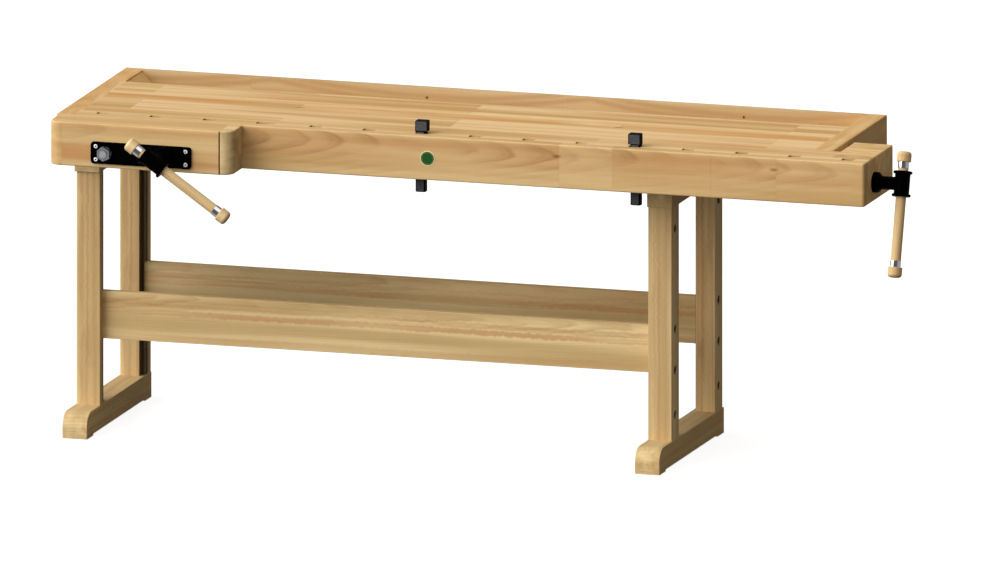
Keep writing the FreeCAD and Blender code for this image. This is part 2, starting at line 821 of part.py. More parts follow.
# ---------------------------------------------------------------- front vise
front_seat = Vector(front_screw_x, plate_front, front_axis_z)
front_out = -ALONG_Y
front_fall = math.radians(front_handle_fall)
front_handle_axis = Vector(math.cos(front_fall), 0, -math.sin(front_fall))
front_middle = handle_middle(front_seat, front_out, front_handle_axis)
front_bracket_x_range = (front_guide_x - bracket_wide / 2, front_guide_x + bracket_wide / 2)
front_bracket_y_range = (front_bracket_y, front_bracket_y + bracket_long)
jaw_joints = (("y", jaw_back, tolerance), ("x", jaw_end_left, jaw_seam + tolerance))


def seam_chamfered(body):
    """Take the corner off at the seam between the jaw and its end block."""
    for edge in body.Edges:
        middle = edge.CenterOfMass
        upright = abs(middle.z - (beam_bottom + top_height) / 2) < tolerance
        if upright and abs(middle.x - jaw_end_left) < tolerance and abs(middle.y - jaw_front) < tolerance:
            return body.makeChamfer(jaw_seam, [edge])
    return body


def front_jaw():
    """The moving jaw, with bores for screw and guide bar and a recess for the thrust ring."""
    body = box((jaw_left, jaw_end_left), (jaw_front, jaw_back), (beam_bottom, top_height))
    body = rounded(body, jaw_round, "z", x=jaw_left, y=jaw_front)
    body = seam_chamfered(body)
    for z in (top_height, beam_bottom):
        body = rim_rounded(body, edge_round, z, jaw_joints)
    screw_start = Vector(front_screw_x, jaw_front, front_axis_z)
    guide_start = Vector(front_guide_x, jaw_front, front_axis_z)
    recess_deep = thrust_thick + 2 * contact_gap
    recess_start = Vector(front_screw_x, jaw_back, front_axis_z)
    tools = [
        rod(screw_start, ALONG_Y, jaw_thick, shaft_d + 2 * passing_gap),
        rod(guide_start, ALONG_Y, jaw_thick, front_guide_d),
        rod(recess_start, -ALONG_Y, recess_deep, thrust_d + 2 * passing_gap),
    ]
    for seat in plate_screw_seats():
        tools.append(rod(seat, ALONG_Y, plate_screw_reach, wood_screw_d + 2 * fastener_gap))
    return cut_all(body, tools)


def front_jaw_end():
    """The rounded block glued to the right end of the jaw."""
    body = box((jaw_end_left, jaw_end_right), (jaw_front, jaw_back), (beam_bottom, top_height))
    body = rounded(body, jaw_round, "z", x=jaw_end_right, y=jaw_front)
    body = seam_chamfered(body)
    for z in (top_height, beam_bottom):
        body = rim_rounded(body, edge_round, z, jaw_joints)
    return body


def plate_screw_seats():
    """The four screws at the corners of the plate."""
    seats = []
    for x in (plate_left + plate_screw_inset_x, plate_left + plate_length - plate_screw_inset_x):
        for side in (-1, 1):
            z = front_axis_z + side * (plate_high / 2 - plate_screw_inset_z)
            seats.append(Vector(x, plate_front, z))
    return seats


def front_plate_screws():
    """The screws that hold the plate to the jaw."""
    return group(wood_screw(seat, ALONG_Y, plate_screw_reach) for seat in plate_screw_seats())


def front_plate():
    """The steel plate on the face of the jaw."""
    z_range = (front_axis_z - plate_high / 2, front_axis_z + plate_high / 2)
    right = plate_left + plate_length
    body = box((plate_left, right), (plate_front, jaw_front), z_range)
    for x in (plate_left, right):
        for z in z_range:
            body = rounded(body, plate_round, "y", x=x, z=z)
    screw_hole_d = wood_screw_d + 2 * fastener_gap
    holes = [rod(seat, ALONG_Y, plate_thick, screw_hole_d) for seat in plate_screw_seats()]
    holes.append(rod(front_seat, ALONG_Y, plate_thick, shaft_d + 2 * passing_gap))
    stud_start = Vector(front_guide_x, plate_front, front_axis_z)
    holes.append(rod(stud_start, ALONG_Y, plate_thick, front_stud_d + 2 * fastener_gap))
    return cut_all(body, holes)


def front_guide_bar():
    """The guide bar, fixed in the jaw and sliding in its bracket."""
    start = Vector(front_guide_x, jaw_front, front_axis_z)
    bar = rod(start, ALONG_Y, front_guide_end - jaw_front, front_guide_d)
    stud_long = plate_thick + guide_washer + guide_nut_high + guide_stud_show
    return bar.fuse(rod(start, -ALONG_Y, stud_long, front_stud_d)).removeSplitter()


def front_guide_nut():
    """The hexagon nut with its washer that holds the guide bar."""
    start = Vector(front_guide_x, plate_front, front_axis_z)
    washer = rod(start, -ALONG_Y, guide_washer, guide_washer_d)
    nut = hexagon(start - ALONG_Y * guide_washer, -ALONG_Y, guide_nut_flats, guide_nut_high)
    bore = rod(start, -ALONG_Y, guide_washer + guide_nut_high, front_stud_d)
    return washer.fuse(nut).removeSplitter().cut(bore)


def front_nut():
    """The threaded nut pressed into the back of the beam."""
    start = Vector(front_screw_x, beam_depth - front_nut_long, front_axis_z)
    body = rod(start, ALONG_Y, front_nut_long, front_nut_d)
    return body.cut(rod(start, ALONG_Y, front_nut_long, shaft_d + 2 * running_gap))


def front_shaft():
    """The front vise screw."""
    inner_length = front_shaft_end - plate_front
    thrust_depth = plate_thick + jaw_thick - thrust_thick - 2 * contact_gap
    return shaft(front_seat, front_out, inner_length, thrust_depth)


def front_guide_bracket():
    """The bearing of the front guide bar."""
    start = Vector(front_guide_x, front_bracket_y, front_axis_z)
    ranges = (front_bracket_x_range, front_bracket_y_range)
    return bracket(*ranges, start, ALONG_Y, front_guide_d, front_axis_z)


# ---------------------------------------------------------------- tail vise
tail_seat = Vector(tail_right, tail_axis_y, tail_axis_z)
tail_out = ALONG_X
tail_lean = math.radians(tail_handle_lean)
tail_handle_axis = Vector(0, -math.sin(tail_lean), -math.cos(tail_lean))
tail_middle = handle_middle(tail_seat, tail_out, tail_handle_axis)
tail_bracket_x_range = (tail_bracket_x, tail_bracket_x + bracket_long)
tail_bracket_y_range = (tail_guide_y - bracket_wide / 2, tail_guide_y + bracket_wide / 2)
tail_board_joints = (("x", tail_left, tolerance), ("y", front_board_thick, tolerance))
tail_block_joints = (("x", tail_block_x, tolerance), ("y", hole_back, tolerance))


def tail_front_board():
    """The front board of the tail vise, in line with the beam."""
    board = box((tail_left, tail_right), (0, front_board_thick), (beam_bottom, top_height))
    board = rounded(board, tail_corner_round, "z", x=tail_right, y=0)
    for z in (top_height, beam_bottom):
        board = rim_rounded(board, edge_round, z, tail_board_joints)
    return board


def tail_dog_blocks():
    """The blocks between the dog holes of the tail vise."""
    *blocks, last = hole_blocks(tail_left, tail_right, range(fixed_holes + 1, all_holes + 1))
    for z in (top_height, beam_bottom):
        last = rounded(last, edge_round, "y", x=tail_right, z=z)
    return group(blocks + [last])


def tail_cover():
    """The cover board over the tail vise's screw."""
    y_range = (hole_back, tail_strip_back)
    return box((tail_head_right, tail_block_x), y_range, (tail_cover_bottom, top_height))


def tail_head():
    """The jaw block at the left end of the tail vise."""
    return box((tail_left, tail_head_right), (hole_back, tail_strip_back), (beam_bottom, top_height))


def tail_block():
    """The end block, which reaches behind the end cap's front end."""
    body = box((tail_block_x, tail_right), (hole_back, tail_block_depth), (beam_bottom, top_height))
    body = rounded(body, tail_corner_round, "z", x=tail_right, y=tail_block_depth)
    for z in (top_height, beam_bottom):
        body = rim_rounded(body, edge_round, z, tail_block_joints)
    screw_bore = rod(tail_seat, -ALONG_X, tail_block_length, shaft_d + 2 * passing_gap)
    guide_start = Vector(tail_block_x, tail_guide_y, tail_guide_z)
    return cut_all(body, [screw_bore, rod(guide_start, ALONG_X, tail_guide_seat, tail_guide_d)])


def tail_guide_bar():
    """The guide bar, fixed in the end block and sliding through the end cap."""
    start = Vector(tail_block_x + tail_guide_seat, tail_guide_y, tail_guide_z)
    return rod(start, -ALONG_X, tail_guide_long, tail_guide_d)


def tail_core():
    """The fixed block inside the tail vise, which holds its nut."""
    x_range = (tail_core_x, top_length)
    y_range = (hole_back + contact_gap, beam_depth)
    body = box(x_range, y_range, (tail_core_top - tail_core_high, tail_core_top))
    bore_start = Vector(tail_core_x, tail_axis_y, tail_axis_z)
    bore = rod(bore_start, ALONG_X, tail_core_length, shaft_d + 2 * passing_gap)
    nut_start = Vector(top_length, tail_axis_y, tail_axis_z)
    return cut_all(body, [bore, rod(nut_start, -ALONG_X, nut_long, nut_d)])


def tail_nut():
    """The flanged nut of the tail vise."""
    face = Vector(top_length, tail_axis_y, tail_axis_z)
    body = rod(face, -ALONG_X, nut_long, nut_d).fuse(rod(face, ALONG_X, nut_flange, nut_flange_d))
    bore = rod(face - ALONG_X * nut_long, ALONG_X, nut_long + nut_flange, shaft_d + 2 * running_gap)
    return body.removeSplitter().cut(bore)


def tail_shaft():
    """The tail vise screw."""
    inner_length = tail_right - tail_head_right - tail_shaft_room
    return shaft(tail_seat, tail_out, inner_length, tail_block_length)


def tail_guide_bracket():
    """The second bearing of the tail guide bar."""
    start = Vector(tail_bracket_x, tail_guide_y, tail_guide_z)
    ranges = (tail_bracket_x_range, tail_bracket_y_range)
    return bracket(*ranges, start, ALONG_X, tail_guide_d, tail_guide_z)


def bracket_screw_lines():
    """Seat and length of every screw that holds a bracket up to the slab."""
    lines = []
    for x_range, y_range, bar_z, bar_d in (
        (front_bracket_x_range, front_bracket_y_range, front_axis_z, front_guide_d),
        (tail_bracket_x_range, tail_bracket_y_range, tail_guide_z, tail_guide_d),
    ):
        length = bracket_height(bar_z, bar_d) + bracket_screw_bite
        for seat in bracket_screw_seats(x_range, y_range, bar_z, bar_d):
            lines.append((seat, length))
    return lines


def bracket_screw_shanks(diameter):
    """Rods of that diameter on the shanks of the bracket screws."""
    return [rod(seat, ALONG_Z, length, diameter) for seat, length in bracket_screw_lines()]


def bracket_screws():
    """Screws that hold both brackets up to the slab."""
    return group(wood_screw(seat, ALONG_Z, length) for seat, length in bracket_screw_lines())


# ---------------------------------------------------------------- dogs
def dog_side(number, lip):
    """The x of the hole wall that a dog stands against; lip is the way its lip points."""
    return hole_centre(number) - lip * (hole_length / 2 - contact_gap)


def span(start, way, length):
    """A range of that length from start, on the given side of it."""
    return (start, start + length) if way > 0 else (start - length, start)


def dog(number, lip):
    """A steel bench dog, its head overhanging the shank on the side of its lip."""
    wall = dog_side(number, lip)
    y_range = (hole_front + contact_gap, hole_front + contact_gap + dog_depth)
    head_bottom = top_height + dog_neck_show
    head_top = head_bottom + dog_head_height
    shank = box(span(wall, lip, dog_shank_length), y_range, (head_top - dog_total, head_bottom))
    uprights = [edge for edge in shank.Edges if abs(edge.CenterOfMass.z - head_top + dog_total) > fine_round
                and abs(edge.CenterOfMass.z - head_bottom) > fine_round]
    shank = shank.makeChamfer(dog_chamfer, uprights)
    head = box(span(wall, lip, dog_head_length), y_range, (head_bottom, head_top))
    top_edges = [edge for edge in head.Edges if abs(edge.CenterOfMass.z - head_top) < tolerance]
    head = head.makeChamfer(dog_head_chamfer, top_edges)
    return shank.fuse(head).removeSplitter()


def dog_spring(number, lip):
    """A bowed leaf spring between a dog's shank and the wall of its hole."""
    shank_face = dog_side(number, lip) + lip * dog_shank_length
    bow = hole_length - dog_shank_length - 3 * contact_gap - spring_thick
    middle_y = (hole_front + hole_back) / 2
    centre_z = top_height + dog_neck_show - spring_centre
    low_z = centre_z - spring_chord / 2
    high_z = centre_z + spring_chord / 2
    y = middle_y - spring_width / 2

    def point(offset, z):
        return Vector(shank_face + lip * offset, y, z)

    inner = Part.Arc(point(0, low_z), point(bow, centre_z), point(0, high_z)).toShape()
    outer_crown = point(bow + spring_thick, centre_z)
    outer = Part.Arc(point(spring_thick, high_z), outer_crown, point(spring_thick, low_z)).toShape()
    upper = Part.makeLine(point(0, high_z), point(spring_thick, high_z))
    lower = Part.makeLine(point(spring_thick, low_z), point(0, low_z))
    return Part.Face(Part.Wire([inner, upper, outer, lower])).extrude(Vector(0, spring_width, 0))


# ---------------------------------------------------------------- all nodes
nodes = {
    "front_board": front_board(),
    "dog_hole_blocks": dog_hole_blocks(),
    "beam_core": beam_core(),
    "top_slab": top_slab(),
    "left_end_cap": left_end_cap(),
    "right_end_cap": right_end_cap(),
    "end_cap_bolts": end_cap_bolts(),
    "end_cap_nuts": group(cap_barrels(cap_barrel_d)),
    "back_board": back_board(),
    "well_bottom": well_bottom(),
    "well_ramps": well_ramps(),
    "badge": badge(),
    "left_foot": foot(0),
    "right_foot": foot(1),
    "left_front_leg": leg(0, False),
    "left_rear_leg": leg(0, True),
    "right_front_leg": leg(1, False),
    "right_rear_leg": leg(1, True),
    "left_top_rail": top_rail(0),
    "right_top_rail": top_rail(1),
    "right_bearer": right_bearer(),
    "rail_bolts": rail_bolts(),
    "front_stretcher": stretcher(False),
    "rear_stretcher": stretcher(True),
    "stretcher_bolts": stretcher_bolts(),
    "stretcher_nuts": stretcher_nuts(),
    "front_vise_nut": front_nut(),
    "front_guide_bracket": front_guide_bracket(),
    "tail_core_block": tail_core(),
    "tail_vise_nut": tail_nut(),
    "tail_guide_bracket": tail_guide_bracket(),
    "bracket_screws": bracket_screws(),
    "front_jaw": front_jaw(),
    "front_jaw_end_block": front_jaw_end(),
    "front_vise_plate": front_plate(),
    "front_plate_screws": front_plate_screws(),
    "front_guide_bar": front_guide_bar(),
    "front_guide_nut": front_guide_nut(),
    "front_screw_collar": collar(front_seat, front_out),
    "front_vise_screw": front_shaft(),
    "front_vise_hub": hub(front_seat, front_out, front_handle_axis),
    "front_handle": handle_rod(front_middle, front_handle_axis),
    "front_handle_knobs": handle_knobs(front_middle, front_handle_axis),
    "front_handle_ferrules": handle_ferrules(front_middle, front_handle_axis),
    "tail_front_board": tail_front_board(),
    "tail_dog_hole_blocks": tail_dog_blocks(),
    "tail_cover_board": tail_cover(),
    "tail_jaw_block": tail_head(),
    "tail_end_block": tail_block(),
    "tail_guide_bar": tail_guide_bar(),
    "tail_screw_collar": collar(tail_seat, tail_out),
    "tail_vise_screw": tail_shaft(),
    "tail_vise_hub": hub(tail_seat, tail_out, tail_handle_axis),
    "tail_handle": handle_rod(tail_middle, tail_handle_axis),
    "tail_handle_knobs": handle_knobs(tail_middle, tail_handle_axis),
    "tail_handle_ferrules": handle_ferrules(tail_middle, tail_handle_axis),
    "left_bench_dog": dog(left_dog_hole, 1),
    "left_dog_spring": dog_spring(left_dog_hole, 1),
    "right_bench_dog": dog(right_dog_hole, -1),
    "right_dog_spring": dog_spring(right_dog_hole, -1),
}


def main():
    """Write one file for each node."""
    os.makedirs("parts", exist_ok=True)
    for name, shape in nodes.items():
        placed = shape.copy()
        placed.translate(-origin)
        placed.exportStep("parts/" + name + ".step")


main()
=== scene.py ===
import json
import math
import bmesh
import bpy
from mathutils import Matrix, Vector


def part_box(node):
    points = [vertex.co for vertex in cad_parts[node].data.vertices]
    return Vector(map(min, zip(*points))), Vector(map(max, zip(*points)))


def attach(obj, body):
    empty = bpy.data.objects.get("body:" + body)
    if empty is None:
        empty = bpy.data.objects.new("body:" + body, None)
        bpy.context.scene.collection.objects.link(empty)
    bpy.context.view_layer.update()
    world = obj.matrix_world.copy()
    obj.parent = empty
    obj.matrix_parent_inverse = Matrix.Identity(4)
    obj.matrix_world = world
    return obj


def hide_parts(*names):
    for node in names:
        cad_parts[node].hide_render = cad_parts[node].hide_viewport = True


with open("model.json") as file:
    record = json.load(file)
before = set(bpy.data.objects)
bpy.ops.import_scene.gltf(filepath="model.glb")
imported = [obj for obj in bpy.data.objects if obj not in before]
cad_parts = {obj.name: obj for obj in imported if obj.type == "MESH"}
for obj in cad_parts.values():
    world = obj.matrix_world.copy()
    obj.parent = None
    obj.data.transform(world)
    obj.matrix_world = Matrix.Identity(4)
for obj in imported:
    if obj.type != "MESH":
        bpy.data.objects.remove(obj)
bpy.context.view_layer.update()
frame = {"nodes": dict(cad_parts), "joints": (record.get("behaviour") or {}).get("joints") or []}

# A joiner's workbench: the CAD model supplies the shapes, and this script gives them their
# wood, iron and steel, cuts the threads of the vise screws, and sets the light and the camera.
# Lengths are in metres, angles in degrees, colours in sRGB from 0 to 255 unless a comment
# says otherwise.

# ---------------------------------------------------------------- view and light
CAMERA_AZIMUTH = 17.01
CAMERA_ELEVATION = 11.79
CAMERA_DISTANCE = 8.0
CAMERA_REACH = 100.0
VIEW_CENTRE = Vector((-0.0063, 0.0, 0.4654))
VIEW_WIDTH = 2.696
FLOOR_SIZE = 60.0
FLOOR_TONE = 0.08        # what the floor sends back to the bench
FLOOR_RIPPLE = 0.005     # how far that goes up and down
FLOOR_WHITE = 0.97       # the floor as the camera sees it
FLOOR_GLOW = 1.28        # light of its own, which keeps the shadow pale
FLOOR_GLOW_SHARE = 0.70
KEY_AZIMUTH = -54.0      # the key light comes from the left and the front
KEY_ELEVATION = 29.0
KEY_STRENGTH = 2.25
KEY_SOFTNESS = 60.0
SKY_AZIMUTH = -50.0      # where the sky is brightest
SKY_ELEVATION = 27.0
SKY_EDGE = -0.1          # where its brightness begins, as a cosine from there
SKY_LOW = 0.235
SKY_HIGH = 1.25
SKY_SHADE = (1.0, 0.91, 0.74, 1.0)   # the dim side of the sky is warm, in linear light
WHITE = (1.0, 1.0, 1.0, 1.0)

X = Vector((1, 0, 0))
Y = Vector((0, 1, 0))
Z = Vector((0, 0, 1))


def linear(colour):
    """An sRGB colour from 0 to 255 as linear light with alpha."""
    channels = []
    for value in colour:
        part = value / 255
        channels.append(part / 12.92 if part <= 0.04045 else ((part + 0.055) / 1.055) ** 2.4)
    return (*channels, 1.0)


# ---------------------------------------------------------------- node graphs
class Graph:
    """A node tree, with short calls for its nodes."""

    def __init__(self, tree):
        self.tree = tree

    def node(self, kind, **settings):
        made = self.tree.nodes.new(kind)
        for key, value in settings.items():
            setattr(made, key, value)
        return made

    def feed(self, socket, value):
        if isinstance(value, bpy.types.NodeSocket):
            self.tree.links.new(value, socket)
        else:
            socket.default_value = value

    def math(self, operation, *values):
        made = self.node("ShaderNodeMath", operation=operation)
        for socket, value in zip(made.inputs, values):
            self.feed(socket, value)
        return made.outputs[0]

    def add(self, *values):
        total = values[0]
        for value in values[1:]:
            total = self.math("ADD", total, value)
        return total

    def minus(self, a, b):
        return self.math("SUBTRACT", a, b)

    def times(self, a, b):
        return self.math("MULTIPLY", a, b)

    def over(self, a, b):
        return self.math("DIVIDE", a, b)

    def size(self, value):
        return self.math("ABSOLUTE", value)

    def least(self, a, b):
        return self.math("MINIMUM", a, b)

    def most(self, a, b):
        return self.math("MAXIMUM", a, b)

    def above(self, a, b):
        """1 where a is greater than b, and 0 elsewhere."""
        return self.math("GREATER_THAN", a, b)

    def radius(self, a, b):
        """The distance from a centre, out of the distances along two axes."""
        return self.math("SQRT", self.add(self.times(a, a), self.times(b, b)))

    def dot(self, vector, direction):
        made = self.node("ShaderNodeVectorMath", operation="DOT_PRODUCT")
        self.feed(made.inputs[0], vector)
        self.feed(made.inputs[1], direction)
        return made.outputs["Value"]

    def combine(self, x, y, z):
        made = self.node("ShaderNodeCombineXYZ")
        for socket, value in zip(made.inputs, (x, y, z)):
            self.feed(socket, value)
        return made.outputs[0]

    def noise(self, vector, scale=1.0, detail=2.0, roughness=0.5):
        made = self.node("ShaderNodeTexNoise")
        self.feed(made.inputs["Vector"], vector)
        made.inputs["Scale"].default_value = scale
        made.inputs["Detail"].default_value = detail
        made.inputs["Roughness"].default_value = roughness
        return made.outputs["Fac"]

    def random(self, vector):
        made = self.node("ShaderNodeTexWhiteNoise", noise_dimensions="3D")
        self.feed(made.inputs["Vector"], vector)
        parts = self.node("ShaderNodeSeparateColor")
        self.feed(parts.inputs[0], made.outputs["Color"])
        return parts.outputs[0], parts.outputs[1], parts.outputs[2]

    def fit(self, value, low, high, to_low=0.0, to_high=1.0, smooth=True):
        kind = "SMOOTHSTEP" if smooth else "LINEAR"
        made = self.node("ShaderNodeMapRange", interpolation_type=kind)
        for socket, number in zip(made.inputs, (value, low, high, to_low, to_high)):
            self.feed(socket, number)
        return made.outputs[0]

    def vary(self, noise, low, high):
        """A number that follows a noise from low to high."""
        return self.fit(noise, 0.3, 0.7, low, high, smooth=False)

    def mix(self, factor, a, b):
        """A colour between a and b. Such a node has its colours at inputs 6 and 7 and output 2."""
        made = self.node("ShaderNodeMix", data_type="RGBA")
        self.feed(made.inputs["Factor"], factor)
        self.feed(made.inputs[6], a)
        self.feed(made.inputs[7], b)
        return made.outputs[2]

    def between(self, noise, low, high):
        """A colour that follows a noise between two sRGB colours."""
        return self.mix(self.fit(noise, 0.3, 0.7), linear(low), linear(high))

    def shade(self, colour, factor):
        """The colour with every channel multiplied by factor."""
        made = self.node("ShaderNodeVectorMath", operation="SCALE")
        self.feed(made.inputs[0], colour)
        self.feed(made.inputs["Scale"], factor)
        return made.outputs[0]


class Surface(Graph):
    """One material in the coordinates of the piece that it is painted on."""

    def __init__(self, name):
        self.material = bpy.data.materials.new(name)
        self.material.use_nodes = True
        super().__init__(self.material.node_tree)
        self.shader = self.tree.nodes["Principled BSDF"]
        coordinates = self.node("ShaderNodeTexCoord")
        self.place = coordinates.outputs["Object"]
        self.normal = coordinates.outputs["Normal"]

    def facing(self, axis):
        """1 where the surface looks along an axis, either way, and 0 where it stands beside it."""
        return self.size(self.dot(self.normal, axis))

    def finish(self, colour, roughness, height, depth, metallic=0.0, specular=0.5):
        """Colour, gloss and small relief, and the finished material."""
        self.feed(self.shader.inputs["Base Color"], colour)
        self.feed(self.shader.inputs["Roughness"], roughness)
        self.shader.inputs["Metallic"].default_value = metallic
        self.shader.inputs["Specular IOR Level"].default_value = specular
        bump = self.node("ShaderNodeBump")
        bump.inputs["Strength"].default_value = 1.0
        bump.inputs["Distance"].default_value = depth
        self.feed(bump.inputs["Height"], height)
        self.feed(self.shader.inputs["Normal"], bump.outputs[0])
        return self.material


# ---------------------------------------------------------------- wood
WOOD_LIGHT = (224, 190, 136)
WOOD_MIDDLE = (205, 166, 110)
WOOD_STREAK = (204, 150, 96)
WOOD_LATE = (168, 118, 74)
WOOD_HEART = (202, 148, 86)
KNOT_BROWN = (126, 66, 28)
TOP_LIGHT = (226, 193, 142)
TOP_MIDDLE = (193, 153, 95)
BACK_LIGHT = (211, 184, 140)
BACK_MIDDLE = (197, 167, 121)
BACK_STREAK = (186, 148, 100)
HANDLE_LIGHT = (238, 212, 160)
HANDLE_MIDDLE = (222, 188, 136)
SEAM_BROWN = (84, 46, 24)
FRAME_LIGHT = (234, 206, 152)
FRAME_MIDDLE = (202, 170, 118)
FRAME_STREAK = (190, 150, 100)
FRAME_ROSY = (192, 136, 88)

# Noises in the wood: how fine they are along and across the grain, per metre, and their detail.
RING_BEND = (1.8, 8.0, 2.0)       # slow bends of the growth rings
RING_ROUGH = (14.0, 60.0, 2.0)    # small ones
RING_PATCH = (3.2, 16.0, 2.0)     # where the rings show, and where they don't
PALE = (0.7, 19.0, 2.0)           # broad lighter and darker stretches
FIBRE = (8.0, 500.0, 3.0)
FLECK = (110.0, 900.0, 1.0)       # short dark pores
STREAK_LENGTH = 0.9               # of the streaks; their fineness is the cut's
STREAK_DETAIL = 3.0

GLUE_LINE = 0.0012                # half the width of a joint between pieces
STAVE_LINE = 0.0014               # and of one between staves
OUTER_STAVE = 0.04                # from an outer joint of the top to where its stave's figure lies
OWN_STRETCH = 4.0                 # how far apart along the grain two boards may be cut
BEND_SIZE = 0.022                 # how far the growth rings bend, slowly
ROUGH_SIZE = 0.004                # and in small waves
DRIFT = 0.008                     # how far bands and arcs wander off
QUIET = 0.45                      # what plain stretches lose of their figure
HEART_EDGE = (0.012, 0.032)       # from where to where heart wood, arcs, knots and dark seams
ARC_EDGE = (0.001, 0.013)         # fade out, from their middle, and how strong the last
ARC_STRENGTH = 0.7                # three are
KNOT_EDGE = (0.002, 0.011)
KNOT_STRENGTH = 0.62
KNOT_SHAPE = (0.55, 1.5)          # what a knot's distances count for along and across the grain
SEAM_EDGE = (0.0016, 0.0026)
SEAM_STRENGTH = 0.92
TURNED = (0.75, 0.98)             # from a bevel to a face that looks along an axis
WORN = (0.0005, 0.0045)           # the reach of worn edges
WOOD_SPECULAR = 0.06
WOOD_RELIEF = 0.00012


class Cut:
    """How a piece of wood was sawn and glued up: its grain, boards and growth rings, and the
    painted light and shade that it is given.
    """

    def __init__(self, along, across, face, **changes):
        self.along = along
        self.across = across
        self.face = face             # where the seen face lies, along x across
        self.width = 0.0             # of one stave; 0 is a single board
        self.shift = 0.0             # where the first stave starts
        self.rows = ()               # or staves one by one: start, paleness, joint, heart
        self.length = 0.0            # of the pieces in such staves
        self.joints = ()             # or the places where pieces meet
        self.seams = ()              # places of dark seams: a dark joint line, deepened by painted shade of the groove there
        self.plain = ()              # stretches with little figure
        self.colours = (WOOD_LIGHT, WOOD_MIDDLE)
        self.brown = WOOD_STREAK     # colour of the streaks
        self.rosy = WOOD_STREAK      # colour of the bands
        self.fineness = 38.0         # of the streaks, per metre
        self.pith = 0.0              # middle of the figure, across the grain
        self.depth = 0.06            # of the pith behind the face
        self.rings = 200.0           # per metre
        self.slope = 0.05            # of the rings against the grain
        self.spread = 0.0            # how far pith and slope differ between boards
        self.figure = 0.5            # strength of the rings
        self.streaks = 0.6
        self.bands = ()              # place, half width and strength of brown bands
        self.bands_start = -9.0      # along the grain
        self.dim = ()                # painted shade at one end: start and end of its fade, its lightness
        self.jagged = 0.0            # how far a band's edge jumps to and fro
        self.knots = ()              # places of small brown knots, along and across
        self.blotches = 0.0          # strength of brown patches
        self.bowls = ()              # length, middle, lowest place and rise of broad arcs
        self.tone = 0.04             # difference in lightness between boards
        self.end_grain = 0.8         # lightness of end grain; above 1 it is painted light on those faces
        self.front_face_painted_light = 1.0       # painted light: lightness of faces that look forwards or back
        self.level_face_painted_shade = 1.0         # painted shade: lightness of level faces
        self.wells = 1.0             # painted shade inside holes; above 1 it is painted light
        self.rim = (0.002, 0.0045)   # how deep inside a hole its painted shade begins and is full
        # overall lightness of the board; on the well ramps it is painted light
        self.light = 1.0
        self.seed = 0.0
        for key, value in changes.items():
            setattr(self, key, value)


def by_row(g, cut, across, column):
    """The number that a table of staves gives in one column, at a place across the grain."""
    value = cut.rows[0][column]
    for before, after in zip(cut.rows, cut.rows[1:]):
        passed = g.above(across, after[0])
        value = g.add(value, g.times(passed, after[column] - before[column]))
    return value


def listed_staves(g, cut, along, across):
    """What staves() gives, for staves listed one by one, and how far on in its piece a point is."""
    scaled = g.over(g.minus(along, by_row(g, cut, across, 2)), cut.length)
    since = g.times(g.math("FRACT", scaled), cut.length)
    seam = g.fit(since, 0.0, GLUE_LINE, 0.93, 1.0)
    starts = [entry[0] for entry in cut.rows[1:]]
    row = 0.0
    for start in starts:
        row = g.add(row, g.above(across, start))
        gap = g.size(g.minus(across, start))
        seam = g.least(seam, g.fit(gap, 0.0, GLUE_LINE, 0.95, 1.0))
    middles = [(start + end) / 2 for start, end in zip(starts, starts[1:])]
    middles.append(starts[-1] + OUTER_STAVE)
    before = starts[0] - OUTER_STAVE
    place = g.minus(across, before)
    for start, middle in zip(starts, middles):
        passed = g.above(across, start)
        place = g.minus(place, g.times(passed, middle - before))
        before = middle
    return row, g.math("FLOOR", scaled), place, seam, since


def staves(g, cut, along, across):
    """Row and piece numbers, the place across a stave, and the lightness of the glue lines."""
    row, piece, seam = 0.0, 0.0, 1.0
    place = g.minus(across, cut.pith)
    if cut.width:
        scaled = g.over(g.minus(across, cut.shift), cut.width)
        row = g.math("FLOOR", scaled)
        place = g.times(g.minus(g.math("FRACT", scaled), 0.5), cut.width)
        half = cut.width / 2
        seam = g.fit(g.size(place), half - STAVE_LINE, half, 1.0, 0.93)
    for joint in cut.joints:
        piece = g.add(piece, g.above(along, joint))
        gap = g.size(g.minus(along, joint))
        seam = g.least(seam, g.fit(gap, 0.0, GLUE_LINE, 0.9, 1.0))
    return row, piece, place, seam


def grain_noise(g, point, along, across, detail):
    """A noise drawn out along the grain, at a point given along, across and through the board."""
    own, side, through = point
    vector = g.combine(g.times(own, along), g.times(side, across), g.times(through, across))
    return g.noise(vector, detail=detail)


def growth_rings(g, cut, point, side, tilt):
    """Darkness of the late wood, from 0 to 1, in cones about the pith."""
    own, _, through = point
    bend = grain_noise(g, point, *RING_BEND)
    rough = grain_noise(g, point, *RING_ROUGH)
    radius = g.radius(side, g.minus(cut.depth, through))
    cone = g.add(radius, g.times(tilt, own), g.times(bend, BEND_SIZE),
                 g.times(rough, ROUGH_SIZE))
    phase = g.math("FRACT", g.times(cone, cut.rings))
    late = g.times(g.fit(phase, 0.15, 0.85), g.fit(phase, 0.88, 1.0, 1.0, 0.0))
    wave = g.math("SINE", g.times(cone, cut.rings * math.tau * 4))
    lines = g.fit(wave, -1.0, 1.0, 0.75, 1.0)
    patch = g.fit(grain_noise(g, point, *RING_PATCH), 0.36, 0.62, 0.1, 1.0)
    near = g.fit(g.size(side), 0.01, 0.06, 1.0, 0.3)
    return g.times(g.times(late, lines), g.times(patch, near))


